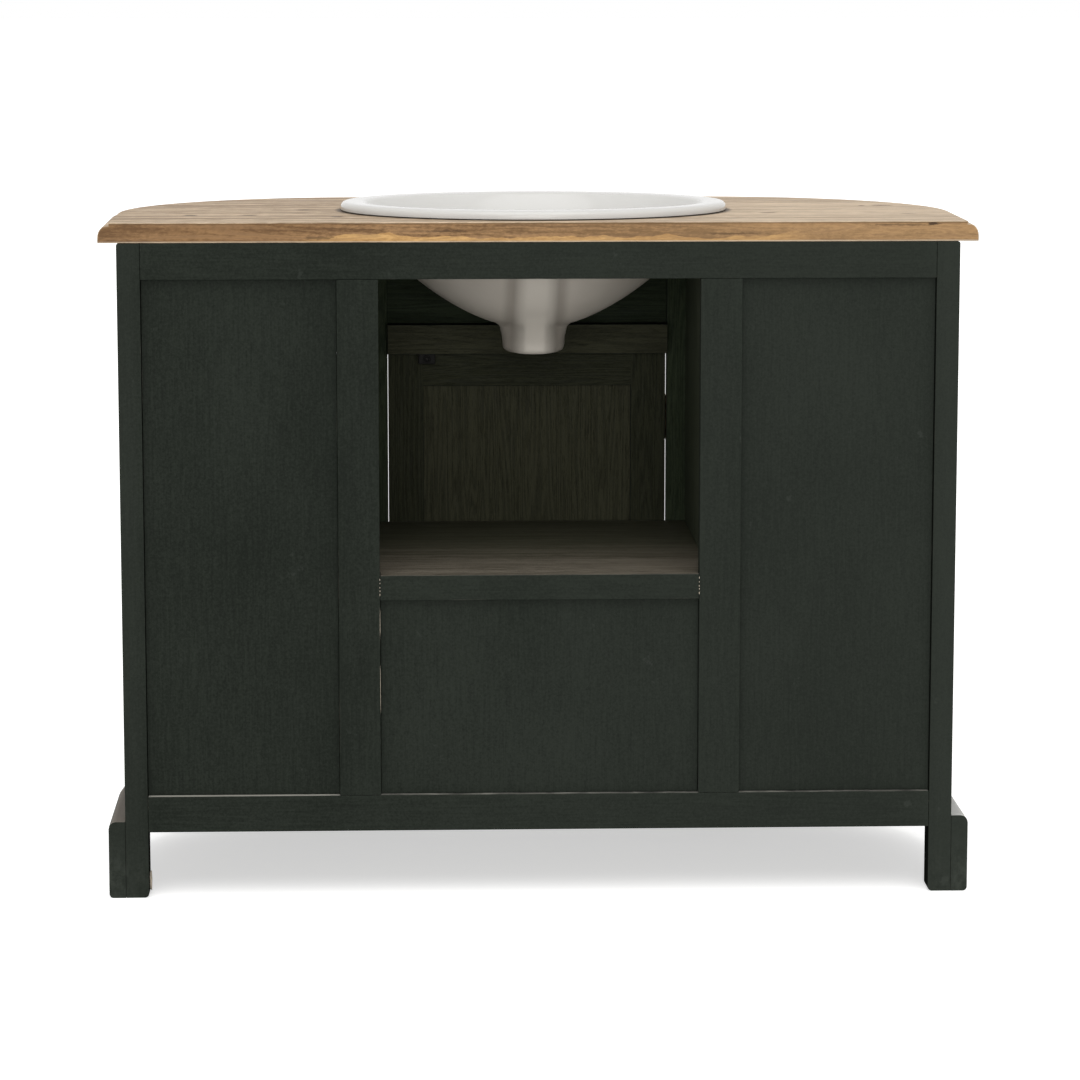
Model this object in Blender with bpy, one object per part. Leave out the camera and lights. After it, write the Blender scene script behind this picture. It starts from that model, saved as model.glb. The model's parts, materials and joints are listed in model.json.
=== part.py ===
"""Bow-ended vanity unit: painted wood cabinet, moulded wood top, oval drop-in basin, three hinged doors.

Metres, +Z up. The front faces -Y. In plan, u is the distance from the back plane towards the front.
"""

import math

import bmesh
import bpy
from mathutils import Vector

# Carcass
BODY_WIDTH = 1.054
BODY_DEPTH = 0.488
BODY_HEIGHT = 0.834
END_RADIUS = 0.300
BOARD = 0.020
FIT = 0.0003
ARC_STEP = math.radians(3)

# Worktop and the moulding round its sides and front
TOP_THICKNESS = 0.025
TOP_OVERHANG = 0.023
TOP_FACE_OVERHANG = 0.0095
LIP_HEIGHT = 0.0035
LIP_STEP = 0.002
OVOLO_HEIGHT = 0.015
OVOLO_STEPS = 6

# Back frame
POST_WIDTH = 0.029
POST_DEPTH = 0.037
BACK_FRAME = 0.022
BACK_TOP_RAIL = 0.046
BACK_BOTTOM_RAIL = 0.046
BACK_BOTTOM_HEIGHT = 0.085
MID_STILE_WIDTH = 0.052
SERVICE_WIDTH = 0.404
CROSS_RAIL_TOP = 0.414
CROSS_RAIL_HEIGHT = 0.032
CROSS_RAIL_DEPTH = 0.030
PANEL_RECESS = 0.009
PANEL = 0.006

# Inside
BAY_WIDTH = 0.435
BOTTOM_BOARD_TOP = 0.127
SHELF_DOOR_GAP = 0.002

# Front frame
DOOR_OPENING = 0.384
INNER_STILE_WIDTH = 0.053
OUTER_STILE_ANGLE = math.radians(9)
FRONT_RAIL_BOTTOM = 0.648
FRONT_RAIL_HEIGHT = 0.039
FRONT_RAIL_DEPTH = 0.040
FASCIA = 0.012
FRONT_BOTTOM_RAIL_TOP = 0.135

# Doors
DOOR_GAP = 0.0025
LATCH_GAP = 0.0015
DOOR_STILE = 0.047
DOOR_RAIL = 0.043
DOOR_PANEL_RECESS = 0.007

# Butt hinges
HINGE_HEIGHT = 0.060
HINGE_FROM_DOOR_END = 0.059
LEAF = 0.0007
LEAF_DEPTH = 0.016
LEAF_SPLIT = 0.0005
PIN_PROUD = 0.0036
KNUCKLE_RADIUS = 0.0030
KNUCKLE_GAP = 0.0005
PIN_RADIUS = 0.0014
PIN_CLEARANCE = 0.0003
ROUND_SIDES = 12

# Knobs, turned
KNOB_HEIGHT = 0.420
KNOB_PROUD = 0.022
KNOB_RADIUS = 0.014
KNOB_NECK = 0.006
KNOB_BASE = 0.009
KNOB_SIDES = 20

# Magnetic catch
CATCH_OFFSET = 0.138
CATCH_WIDTH = 0.023
CATCH_HEIGHT = 0.014
CATCH_DEPTH = 0.016
STRIKE = 0.0008
STRIKE_HEIGHT = 0.012

# Skirting with bracket feet
SKIRTING = 0.0214
SKIRTING_HEIGHT = 0.099
SKIRTING_ROUND = 0.0095
SKIRTING_ROUND_STEPS = 4
ARCH_HEIGHT = 0.045
ARCH_RISE_LENGTH = 0.040
BACK_FOOT_LENGTH = 0.060
FRONT_FOOT_LENGTH = 0.090
MIDDLE_FOOT_LENGTH = 0.030
RISE_STATIONS = 6

# Basin
BASIN_BACK_MARGIN = 0.027
RIM_WIDTH = 0.498
RIM_DEPTH = 0.410
RIM_LEDGE = 0.034
RIM_THICKNESS = 0.010
RIM_ROUND = 0.004
SEAL_SPACE = 0.002
SEAL_WIDTH = 0.014
BOWL_WALL = 0.010
BOWL_DEPTH = 0.148
BOWL_LOW_SHARE = 0.745
BOWL_LOW_POWER = 1.4
BOWL_HIGH_POWER = 6.0
BOWL_CUT_CLEARANCE = 0.009
BOSS_RADIUS = 0.0405
BOSS_FLARE = 0.003
BOSS_HEIGHT = 0.037
OUTLET_RADIUS = 0.023
CHANNEL_WIDTH = 0.054
CHANNEL_PROUD = 0.010
CHANNEL_BITE = 0.004
BASIN_SIDES = 48
BOWL_STEPS = 9

# Worked out from the sizes above
BACK_Y = (BODY_DEPTH + TOP_OVERHANG) / 2
HALF_BODY = BODY_WIDTH / 2
ARC_X = HALF_BODY - END_RADIUS
ARC_U = BODY_DEPTH - END_RADIUS
INNER_RADIUS = END_RADIUS - BOARD
TOP_FACE = BODY_HEIGHT + TOP_THICKNESS
UNDER_TOP = BODY_HEIGHT - FIT
HALF_BAY = BAY_WIDTH / 2
PARTITION_OUT = HALF_BAY + BOARD
HALF_OPENING = DOOR_OPENING / 2
INNER_STILE_OUT = HALF_OPENING + INNER_STILE_WIDTH
FRONT_BACK_FACE = BODY_DEPTH - BOARD
FRONT_RAIL_TOP = FRONT_RAIL_BOTTOM + FRONT_RAIL_HEIGHT
DOOR_BOTTOM = FRONT_BOTTOM_RAIL_TOP + DOOR_GAP
DOOR_TOP = FRONT_RAIL_BOTTOM - DOOR_GAP
HALF_SERVICE = SERVICE_WIDTH / 2
MID_STILE_OUT = HALF_SERVICE + MID_STILE_WIDTH
BACK_RAIL_TOP = BACK_BOTTOM_HEIGHT + BACK_BOTTOM_RAIL
TOP_RAIL_BOTTOM = BODY_HEIGHT - BACK_TOP_RAIL
CROSS_RAIL_BOTTOM = CROSS_RAIL_TOP - CROSS_RAIL_HEIGHT
BASIN_U = BASIN_BACK_MARGIN + RIM_DEPTH / 2
RIM_UNDER = TOP_FACE + SEAL_SPACE
RIM_TOP = RIM_UNDER + RIM_THICKNESS

LEFT = -1
RIGHT = 1
SIDE_NAMES = {LEFT: "left", RIGHT: "right"}


def clear_scene():
    for old in list(bpy.data.objects):
        bpy.data.objects.remove(old)


def finish(name, colour, roughness, metallic=0.0):
    """A Principled material."""
    material = bpy.data.materials.new(name)
    material.use_nodes = True
    shader = material.node_tree.nodes["Principled BSDF"]
    shader.inputs["Base Color"].default_value = (*colour, 1.0)
    shader.inputs["Roughness"].default_value = roughness
    shader.inputs["Metallic"].default_value = metallic
    return material


def at(x, u, z):
    """A point in the part's frame from its place in plan and its height."""
    return Vector((x, BACK_Y - u, z))


def wall_rows(mesh, loops, ring=False):
    """Joins loops of equally many points, one to the next. A ring joins the last to the first."""
    rows = [[mesh.verts.new(point) for point in loop] for loop in loops]
    count = len(rows[0])
    pairs = list(zip(rows, rows[1:]))
    if ring:
        pairs.append((rows[-1], rows[0]))
    for first, second in pairs:
        for i in range(count):
            j = (i + 1) % count
            mesh.faces.new((first[i], first[j], second[j], second[i]))
    return rows


def closed_edges(mesh, row):
    return [mesh.edges.get((row[i - 1], row[i])) for i in range(len(row))]


def loft(loops, ring=False):
    """A closed solid through loops of points, with flat ends unless it is a ring."""
    mesh = bmesh.new()
    rows = wall_rows(mesh, loops, ring)
    if not ring:
        mesh.faces.new(rows[0])
        mesh.faces.new(rows[-1])
    bmesh.ops.recalc_face_normals(mesh, faces=mesh.faces)
    return mesh


def prism(outline, low, high):
    """An upright solid on an outline of (x, u) points."""
    return loft([[at(x, u, z) for x, u in outline] for z in (low, high)])


def board(x0, x1, u0, u1, low, high):
    return prism([(x0, u0), (x1, u0), (x1, u1), (x0, u1)], low, high)


def add(name, mesh, material, pivot=None, smooth=False):
    """Makes the named object. A moving piece has its origin on its pivot."""
    data = bpy.data.meshes.new(name)
    if pivot:
        bmesh.ops.translate(mesh, vec=-pivot.location, verts=mesh.verts)
    mesh.to_mesh(data)
    mesh.free()
    piece = bpy.data.objects.new(name, data)
    bpy.context.collection.objects.link(piece)
    piece.parent = pivot
    data.materials.append(material)
    if smooth:
        data.shade_smooth()
        data.set_sharp_from_angle(angle=math.radians(35))
    return piece


def combine(piece, operation, tool_mesh, label, pivot=None):
    """Cuts a hidden tool from a piece, or joins it on."""
    tool = add(f"{piece.name}_{label}", tool_mesh, piece.data.materials[0], pivot)
    tool.hide_render = True
    tool.display_type = "WIRE"
    modifier = piece.modifiers.new(label, "BOOLEAN")
    modifier.operation = operation
    modifier.object = tool


def axis_empty(name, x, u, z):
    pivot = bpy.data.objects.new(name, None)
    bpy.context.collection.objects.link(pivot)
    pivot.location = at(x, u, z)
    return pivot


def arc_angles(start, end):
    steps = max(1, math.ceil(abs(end - start) / ARC_STEP))
    return [start + (end - start) * i / steps for i in range(steps + 1)]


def on_end(side, radius, angle):
    """A point in plan on a rounded end: angle 0 is the side of the unit, a right angle is its front."""
    return side * (ARC_X + radius * math.cos(angle)), ARC_U + radius * math.sin(angle)


def bent_board(side, inner, outer, start, end, low, high):
    angles = arc_angles(start, end)
    outside = [on_end(side, outer, a) for a in angles]
    inside = [on_end(side, inner, a) for a in reversed(angles)]
    return prism(outside + inside, low, high)


def inner_stile_angle(radius, clearance):
    """Where a bent piece stops beside the inner front stile."""
    return math.acos((INNER_STILE_OUT + clearance - ARC_X) / radius)


def inner_stile_outline(side):
    """Plan of the stile between the flat middle and a rounded end, so its outer edge follows the bend."""
    outline = [(side * HALF_OPENING, FRONT_BACK_FACE), (side * HALF_OPENING, BODY_DEPTH)]
    outer_turn = math.acos((INNER_STILE_OUT - ARC_X) / END_RADIUS)
    outline += [on_end(side, END_RADIUS, a) for a in arc_angles(math.pi / 2, outer_turn)]
    inner_turn = math.acos((INNER_STILE_OUT - ARC_X) / INNER_RADIUS)
    outline += [on_end(side, INNER_RADIUS, a) for a in arc_angles(inner_turn, math.pi / 2)]
    return outline


def bent_frame(side, start, end, low, high, stile_angle):
    """A door frame bent to the rounded end, with an open middle."""
    inside = (start + stile_angle, end - stile_angle)
    angles = arc_angles(start, inside[0])[:-1]
    first_open = len(angles)
    angles += arc_angles(*inside)
    last_open = len(angles) - 2
    angles += arc_angles(inside[1], end)[1:]
    heights = [low, low + DOOR_RAIL, high - DOOR_RAIL, high]
    columns = len(angles) - 1
    rows = len(heights) - 1

    def is_solid(i, j):
        if not (0 <= i < columns and 0 <= j < rows):
            return False
        return j != 1 or i < first_open or i > last_open

    mesh = bmesh.new()
    corners = {}

    def corner(i, j, radius):
        if (i, j, radius) not in corners:
            point = at(*on_end(side, radius, angles[i]), heights[j])
            corners[i, j, radius] = mesh.verts.new(point)
        return corners[i, j, radius]

    for i in range(columns):
        for j in range(rows):
            if not is_solid(i, j):
                continue
            edges = {
                (i - 1, j): ((i, j), (i, j + 1)),
                (i + 1, j): ((i + 1, j), (i + 1, j + 1)),
                (i, j - 1): ((i, j), (i + 1, j)),
                (i, j + 1): ((i, j + 1), (i + 1, j + 1)),
            }
            for radius in (INNER_RADIUS, END_RADIUS):
                face = ((i, j), (i + 1, j), (i + 1, j + 1), (i, j + 1))
                mesh.faces.new([corner(*place, radius) for place in face])
            for neighbour, (a, b) in edges.items():
                if not is_solid(*neighbour):
                    wall = [corner(*a, INNER_RADIUS), corner(*b, INNER_RADIUS)]
                    wall += [corner(*b, END_RADIUS), corner(*a, END_RADIUS)]
                    mesh.faces.new(wall)
    bmesh.ops.recalc_face_normals(mesh, faces=mesh.faces)
    return mesh


def back_frame(paint):
    post_in = HALF_BODY - POST_WIDTH
    rail_end = post_in - FIT
    add("back_top_rail", board(-rail_end, rail_end, 0, BACK_FRAME, TOP_RAIL_BOTTOM, UNDER_TOP), paint)
    low_rail = board(-rail_end, rail_end, 0, BACK_FRAME, BACK_BOTTOM_HEIGHT, BACK_RAIL_TOP)
    add("back_bottom_rail", low_rail, paint)
    stile_low = BACK_RAIL_TOP + FIT
    stile_high = TOP_RAIL_BOTTOM - FIT
    panel_back = PANEL_RECESS
    panel_front = PANEL_RECESS + PANEL
    for side, word in SIDE_NAMES.items():
        add(f"back_post_{word}", board(side * post_in, side * HALF_BODY, 0, POST_DEPTH, 0, UNDER_TOP), paint)
        stile = board(side * HALF_SERVICE, side * MID_STILE_OUT, 0, BACK_FRAME, stile_low, stile_high)
        add(f"back_mid_stile_{word}", stile, paint)
        panel_in = side * (MID_STILE_OUT + FIT)
        panel_out = side * (post_in - FIT)
        panel = board(panel_in, panel_out, panel_back, panel_front, stile_low, stile_high)
        add(f"back_panel_{word}", panel, paint)
    half = HALF_SERVICE - FIT
    cross = board(-half, half, 0, CROSS_RAIL_DEPTH, CROSS_RAIL_BOTTOM, CROSS_RAIL_TOP)
    add("back_cross_rail", cross, paint)
    centre = board(-half, half, panel_back, panel_front, stile_low, CROSS_RAIL_BOTTOM - FIT)
    add("back_panel_centre", centre, paint)


def carcass(paint, inside):
    back = BACK_FRAME + FIT
    front = FRONT_BACK_FACE - FIT
    floor_top = BOTTOM_BOARD_TOP
    floor_low = floor_top - BOARD
    side_in = HALF_BODY - BOARD
    for side, word in SIDE_NAMES.items():
        wall = board(side * HALF_BAY, side * PARTITION_OUT, back, front, floor_top + FIT, UNDER_TOP)
        add(f"partition_{word}", wall, inside)
        outer = board(
            side * side_in, side * HALF_BODY, POST_DEPTH + FIT, ARC_U - FIT, BACK_BOTTOM_HEIGHT, UNDER_TOP
        )
        add(f"side_board_{word}", outer, paint)
    radius = INNER_RADIUS - FIT
    post_in = HALF_BODY - POST_WIDTH - FIT
    floor_side = side_in - FIT
    right = [(post_in, back), (post_in, POST_DEPTH + FIT), (floor_side, POST_DEPTH + FIT)]
    right += [on_end(RIGHT, radius, a) for a in arc_angles(0, math.pi / 2)]
    left = [(-x, u) for x, u in reversed(right)]
    add("bottom_board", prism(right + left, floor_low, floor_top), inside)
    half = HALF_BAY - FIT
    shelf_back = CROSS_RAIL_DEPTH + FIT
    shelf_front = FRONT_BACK_FACE - SHELF_DOOR_GAP
    shelf = board(-half, half, shelf_back, shelf_front, CROSS_RAIL_TOP - BOARD, CROSS_RAIL_TOP)
    add("centre_shelf", shelf, inside)


def front_frame(paint):
    low = BACK_BOTTOM_HEIGHT
    half = HALF_OPENING - FIT
    rail = board(
        -half, half, BODY_DEPTH - FRONT_RAIL_DEPTH, BODY_DEPTH, FRONT_RAIL_BOTTOM, FRONT_RAIL_TOP
    )
    add("front_rail_centre", rail, paint)
    fascia = board(-half, half, BODY_DEPTH - FASCIA, BODY_DEPTH, FRONT_RAIL_TOP + FIT, UNDER_TOP)
    add("fascia_centre", fascia, paint)
    foot = board(-half, half, FRONT_BACK_FACE, BODY_DEPTH, low, FRONT_BOTTOM_RAIL_TOP)
    add("bottom_rail_centre", foot, paint)
    bend_start = OUTER_STILE_ANGLE + FIT / INNER_RADIUS
    bend_end = inner_stile_angle(INNER_RADIUS, FIT)
    for side, word in SIDE_NAMES.items():
        add(f"front_stile_inner_{word}", prism(inner_stile_outline(side), low, UNDER_TOP), paint)
        outer = bent_board(side, INNER_RADIUS, END_RADIUS, 0, OUTER_STILE_ANGLE, low, UNDER_TOP)
        add(f"front_stile_outer_{word}", outer, paint)
        bent = (side, INNER_RADIUS, END_RADIUS, bend_start, bend_end)
        add(f"fascia_{word}", bent_board(*bent, FRONT_RAIL_BOTTOM, UNDER_TOP), paint)
        add(f"bottom_rail_{word}", bent_board(*bent, low, FRONT_BOTTOM_RAIL_TOP), paint)


def arch(distance, length, first_foot, last_foot):
    """Height of the skirting's lower edge at a distance along it: feet at both ends, an arch between."""
    from_foot = min(distance - first_foot, length - last_foot - distance)
    share = min(1.0, max(0.0, from_foot / ARCH_RISE_LENGTH))
    return ARCH_HEIGHT * (1 - math.cos(math.pi * share)) / 2


def skirting_section(low):
    """Outward offset and height of each point of the skirting's section."""
    section = [(FIT, low), (SKIRTING, low)]
    for i in range(SKIRTING_ROUND_STEPS + 1):
        turn = math.pi / 2 * i / SKIRTING_ROUND_STEPS
        out = SKIRTING - SKIRTING_ROUND * (1 - math.cos(turn))
        section.append((out, SKIRTING_HEIGHT - SKIRTING_ROUND * (1 - math.sin(turn))))
    section.append((FIT, SKIRTING_HEIGHT))
    return section


def rise_distances(length, first_foot, last_foot):
    """Places along a skirting where its lower edge needs points."""
    climb = [first_foot + ARCH_RISE_LENGTH * i / RISE_STATIONS for i in range(RISE_STATIONS + 1)]
    fall = [length - last_foot - ARCH_RISE_LENGTH * i / RISE_STATIONS for i in range(RISE_STATIONS + 1)]
    return [0.0, *climb, *reversed(fall), length]


def skirting(paint):
    bend_length = END_RADIUS * math.pi / 2
    length = ARC_U + bend_length
    feet = (BACK_FOOT_LENGTH, FRONT_FOOT_LENGTH)
    distances = rise_distances(length, *feet)
    distances += [ARC_U + END_RADIUS * a for a in arc_angles(0, math.pi / 2)]
    distances = sorted({round(d, 6) for d in distances})
    for side, word in SIDE_NAMES.items():
        loops = []
        for distance in distances:
            section = skirting_section(arch(distance, length, *feet))
            if distance < ARC_U:
                loops.append([at(side * (HALF_BODY + out), distance, z) for out, z in section])
                continue
            angle = (distance - ARC_U) / END_RADIUS
            loops.append([at(*on_end(side, END_RADIUS + out, angle), z) for out, z in section])
        add(f"skirting_{word}", loft(loops), paint)
    front_length = 2 * (ARC_X - FIT)
    front_feet = (MIDDLE_FOOT_LENGTH, MIDDLE_FOOT_LENGTH)
    loops = []
    for distance in rise_distances(front_length, *front_feet):
        section = skirting_section(arch(distance, front_length, *front_feet))
        x = distance - front_length / 2
        loops.append([at(x, BODY_DEPTH + out, z) for out, z in section])
    add("skirting_front", loft(loops), paint)


def worktop_outline(overhang):
    """The plan of the top at one level of its moulding: square at the back, rounded at the front."""
    radius = END_RADIUS + overhang
    right = [(HALF_BODY + overhang, 0.0)]
    right += [on_end(RIGHT, radius, a) for a in arc_angles(0, math.pi / 2)]
    return right + [(-x, u) for x, u in reversed(right)]


def worktop(wood):
    moulding = [(TOP_FACE_OVERHANG, TOP_FACE), (TOP_FACE_OVERHANG, TOP_FACE - LIP_HEIGHT)]
    ovolo_in = TOP_FACE_OVERHANG + LIP_STEP
    ovolo_width = TOP_OVERHANG - ovolo_in
    ovolo_top = TOP_FACE - LIP_HEIGHT
    for i in range(OVOLO_STEPS + 1):
        turn = math.pi / 2 * i / OVOLO_STEPS
        drop = OVOLO_HEIGHT * (1 - math.cos(turn))
        moulding.append((ovolo_in + ovolo_width * math.sin(turn), ovolo_top - drop))
    moulding.append((TOP_OVERHANG, BODY_HEIGHT))
    mesh = bmesh.new()
    outside = [[at(x, u, z) for x, u in worktop_outline(out)] for out, z in moulding]
    cutout = [ellipse(*cutout_axes(), z) for z in (TOP_FACE, BODY_HEIGHT)]
    outer_rows = wall_rows(mesh, outside)
    inner_rows = wall_rows(mesh, cutout)
    for level in (0, -1):
        rims = closed_edges(mesh, outer_rows[level]) + closed_edges(mesh, inner_rows[level])
        bmesh.ops.triangle_fill(mesh, edges=rims, use_beauty=True)
    bmesh.ops.recalc_face_normals(mesh, faces=mesh.faces)
    add("worktop", mesh, wood)


def ellipse(half_x, half_u, z):
    turns = [2 * math.pi * i / BASIN_SIDES for i in range(BASIN_SIDES)]
    return [at(half_x * math.cos(t), BASIN_U + half_u * math.sin(t), z) for t in turns]


def rim_axes(inset):
    return RIM_WIDTH / 2 - inset, RIM_DEPTH / 2 - inset


def bowl_axes():
    """Half sizes of the bowl's outside where it passes through the top."""
    return rim_axes(RIM_LEDGE - BOWL_WALL + BOWL_CUT_CLEARANCE - RIM_ROUND + FIT)


def cutout_axes():
    half_x, half_u = bowl_axes()
    return half_x + BOWL_CUT_CLEARANCE, half_u + BOWL_CUT_CLEARANCE


def bowl_ring(inset, share, depth, end_radius):
    """One level of the bowl, from its mouth (share 1) to its outlet (share 0), which is round."""
    half_x, half_u = bowl_axes()
    x = end_radius + (half_x - inset - end_radius) * share
    u = end_radius + (half_u - inset - end_radius) * share
    low_part = BOWL_LOW_SHARE * share**BOWL_LOW_POWER
    high_part = (1 - BOWL_LOW_SHARE) * share**BOWL_HIGH_POWER
    drop = depth * (1 - low_part - high_part)
    return x, u, drop


def bowl_levels(inset, depth, end_radius):
    shares = [1 - i / BOWL_STEPS for i in range(BOWL_STEPS + 1)]
    return [bowl_ring(inset, share, depth, end_radius) for share in shares]


def basin(ceramic, rubber):
    boss_top = BOSS_RADIUS + BOSS_FLARE
    boss_low = TOP_FACE - BOWL_DEPTH - BOSS_HEIGHT
    loops = [ellipse(OUTLET_RADIUS, OUTLET_RADIUS, boss_low), ellipse(BOSS_RADIUS, BOSS_RADIUS, boss_low)]
    outside = bowl_levels(0, BOWL_DEPTH, boss_top)
    loops += [ellipse(x, u, TOP_FACE - drop) for x, u, drop in reversed(outside)]
    loops.append(ellipse(*bowl_axes(), RIM_UNDER))
    loops.append(ellipse(*rim_axes(RIM_ROUND), RIM_UNDER))
    loops.append(ellipse(*rim_axes(0), RIM_UNDER + RIM_ROUND))
    loops.append(ellipse(*rim_axes(0), RIM_TOP - RIM_ROUND))
    loops.append(ellipse(*rim_axes(RIM_ROUND), RIM_TOP))
    loops.append(ellipse(*rim_axes(RIM_LEDGE - RIM_ROUND), RIM_TOP))
    loops.append(ellipse(*rim_axes(RIM_LEDGE), RIM_TOP - RIM_ROUND))
    inside = bowl_levels(BOWL_WALL, BOWL_DEPTH - BOWL_WALL, OUTLET_RADIUS)
    loops += [ellipse(x, u, TOP_FACE - drop) for x, u, drop in inside]
    bowl = add("basin", loft(loops, ring=True), ceramic, smooth=True)

    # The overflow channel follows the back of the bowl down to the boss
    outer_edge = []
    inner_edge = []
    for x, u, drop in outside[1:]:
        outer_edge.append((u + CHANNEL_PROUD, TOP_FACE - drop))
        inner_edge.append((u - CHANNEL_BITE, TOP_FACE - drop))
    channel_low = boss_low + RIM_ROUND
    outer_edge.append((BOSS_RADIUS + CHANNEL_PROUD, channel_low))
    inner_edge.append((BOSS_RADIUS - CHANNEL_BITE, channel_low))
    path = outer_edge + inner_edge[::-1]
    half = CHANNEL_WIDTH / 2
    channel = loft([[at(x, BASIN_U - back, z) for back, z in path] for x in (-half, half)])
    combine(bowl, "UNION", channel, "overflow_channel")

    inner_x, inner_u = cutout_axes()
    seal_low = TOP_FACE + FIT
    seal_high = RIM_UNDER - FIT
    outer_x = inner_x + SEAL_WIDTH
    outer_u = inner_u + SEAL_WIDTH
    rings = [ellipse(inner_x, inner_u, seal_low), ellipse(outer_x, outer_u, seal_low)]
    rings += [ellipse(outer_x, outer_u, seal_high), ellipse(inner_x, inner_u, seal_high)]
    add("basin_seal", loft(rings, ring=True), rubber)


def knob(name, x, u, outward, pivot, metal):
    """A turned knob on a door's face. outward is its direction in plan."""
    base = FIT
    profile = [
        (0.0, KNOB_BASE),
        (0.10, KNOB_BASE),
        (0.22, KNOB_NECK),
        (0.45, KNOB_NECK),
        (0.60, KNOB_RADIUS * 0.86),
        (0.74, KNOB_RADIUS),
        (0.88, KNOB_RADIUS * 0.90),
        (1.0, KNOB_RADIUS * 0.55),
    ]
    loops = []
    for share, radius in profile:
        reach = base + KNOB_PROUD * share
        loop = []
        for i in range(KNOB_SIDES):
            turn = 2 * math.pi * i / KNOB_SIDES
            across = radius * math.cos(turn)
            place_x = x + outward[0] * reach - outward[1] * across
            place_u = u + outward[1] * reach + outward[0] * across
            loop.append(at(place_x, place_u, KNOB_HEIGHT + radius * math.sin(turn)))
        loops.append(loop)
    add(name, loft(loops), metal, pivot, smooth=True)


def leaf_outline(sign):
    """Plan of a hinge leaf with its knuckle: (across, out), measured from the pin, out of the door's face."""
    near = LEAF_SPLIT / 2
    far = near + LEAF
    deep = -(PIN_PROUD + LEAF_DEPTH)
    start = math.atan2(-math.sqrt(KNUCKLE_RADIUS**2 - far**2), far)
    end = 2 * math.pi + math.atan2(-math.sqrt(KNUCKLE_RADIUS**2 - near**2), near)
    points = [(near, deep), (far, deep)]
    for i in range(ROUND_SIDES + 1):
        turn = start + (end - start) * i / ROUND_SIDES
        points.append((KNUCKLE_RADIUS * math.cos(turn), KNUCKLE_RADIUS * math.sin(turn)))
    return [(sign * across, out) for across, out in points]


def hinge(name, place, across_dir, out_dir, middle, pivot, metal):
    """A butt hinge: a fixed leaf that holds the pin, and a door leaf whose knuckle turns on it."""

    def plan(points):
        found = []
        for across, out in points:
            x = place[0] + across_dir[0] * across + out_dir[0] * out
            u = place[1] + across_dir[1] * across + out_dir[1] * out
            found.append((x, u))
        return found

    def disc(radius):
        turns = [2 * math.pi * i / ROUND_SIDES for i in range(ROUND_SIDES)]
        return plan([(radius * math.cos(t), radius * math.sin(t)) for t in turns])

    low = middle - HINGE_HEIGHT / 2
    high = middle + HINGE_HEIGHT / 2
    third = HINGE_HEIGHT / 3
    reach = 2 * KNUCKLE_RADIUS
    clear = KNUCKLE_RADIUS + KNUCKLE_GAP
    notch = plan([(-reach, -clear), (reach, -clear), (reach, reach), (-reach, reach)])

    fixed = add(f"{name}_fixed_leaf", prism(plan(leaf_outline(-1)), low, high), metal)
    combine(fixed, "DIFFERENCE", prism(notch, low + third, high - third), "notch")
    combine(fixed, "UNION", prism(disc(PIN_RADIUS), low + KNUCKLE_GAP, high - KNUCKLE_GAP), "pin")

    moving = add(f"{name}_door_leaf", prism(plan(leaf_outline(1)), low, high), metal, pivot)
    below = prism(notch, low - third, low + third + KNUCKLE_GAP)
    combine(moving, "DIFFERENCE", below, "lower_notch", pivot)
    above = prism(notch, high - third - KNUCKLE_GAP, high + third)
    combine(moving, "DIFFERENCE", above, "upper_notch", pivot)
    bore = prism(disc(PIN_RADIUS + PIN_CLEARANCE), low - third, high + third)
    combine(moving, "DIFFERENCE", bore, "bore", pivot)


def hinge_levels():
    inset = HINGE_FROM_DOOR_END + HINGE_HEIGHT / 2
    return {"lower": DOOR_BOTTOM + inset, "upper": DOOR_TOP - inset}


def centre_door(paint, metal, black):
    pin_x = -HALF_OPENING + DOOR_GAP / 2
    pin_u = BODY_DEPTH + PIN_PROUD
    pivot = axis_empty("centre_door_axis", pin_x, pin_u, DOOR_BOTTOM)
    hinge_edge = -HALF_OPENING + DOOR_GAP
    latch_edge = HALF_OPENING - LATCH_GAP
    back = FRONT_BACK_FACE
    front = BODY_DEPTH
    hinge_inner = hinge_edge + DOOR_STILE
    latch_inner = latch_edge - DOOR_STILE
    rail_x0 = hinge_inner + FIT
    rail_x1 = latch_inner - FIT
    stiles = {"hinge": (hinge_edge, hinge_inner), "latch": (latch_inner, latch_edge)}
    for word, (x0, x1) in stiles.items():
        stile = board(x0, x1, back, front, DOOR_BOTTOM, DOOR_TOP)
        add(f"centre_door_{word}_stile", stile, paint, pivot)
    low_top = DOOR_BOTTOM + DOOR_RAIL
    high_low = DOOR_TOP - DOOR_RAIL
    rails = {"bottom": (DOOR_BOTTOM, low_top), "top": (high_low, DOOR_TOP)}
    for word, (low, high) in rails.items():
        rail = board(rail_x0, rail_x1, back, front, low, high)
        add(f"centre_door_{word}_rail", rail, paint, pivot)
    face = front - DOOR_PANEL_RECESS
    panel = board(rail_x0, rail_x1, face - PANEL, face, low_top + FIT, high_low - FIT)
    add("centre_door_panel", panel, paint, pivot)
    for word, middle in hinge_levels().items():
        hinge(f"centre_{word}_hinge", (pin_x, pin_u), (1, 0), (0, 1), middle, pivot, metal)
    knob("centre_knob", latch_edge - DOOR_STILE / 2, front, (0, 1), pivot, metal)

    catch_x0 = CATCH_OFFSET - CATCH_WIDTH / 2
    catch_x1 = CATCH_OFFSET + CATCH_WIDTH / 2
    strike_front = back - FIT
    strike_back = strike_front - STRIKE
    catch_front = strike_back - FIT
    catch_top = FRONT_RAIL_BOTTOM - FIT
    catch_low = catch_top - CATCH_HEIGHT
    body = board(catch_x0, catch_x1, catch_front - CATCH_DEPTH, catch_front, catch_low, catch_top)
    add("catch_body", body, black)
    strike_top = DOOR_TOP - FIT
    strike = board(
        catch_x0, catch_x1, strike_back, strike_front, strike_top - STRIKE_HEIGHT, strike_top
    )
    add("catch_strike", strike, metal, pivot)


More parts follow.
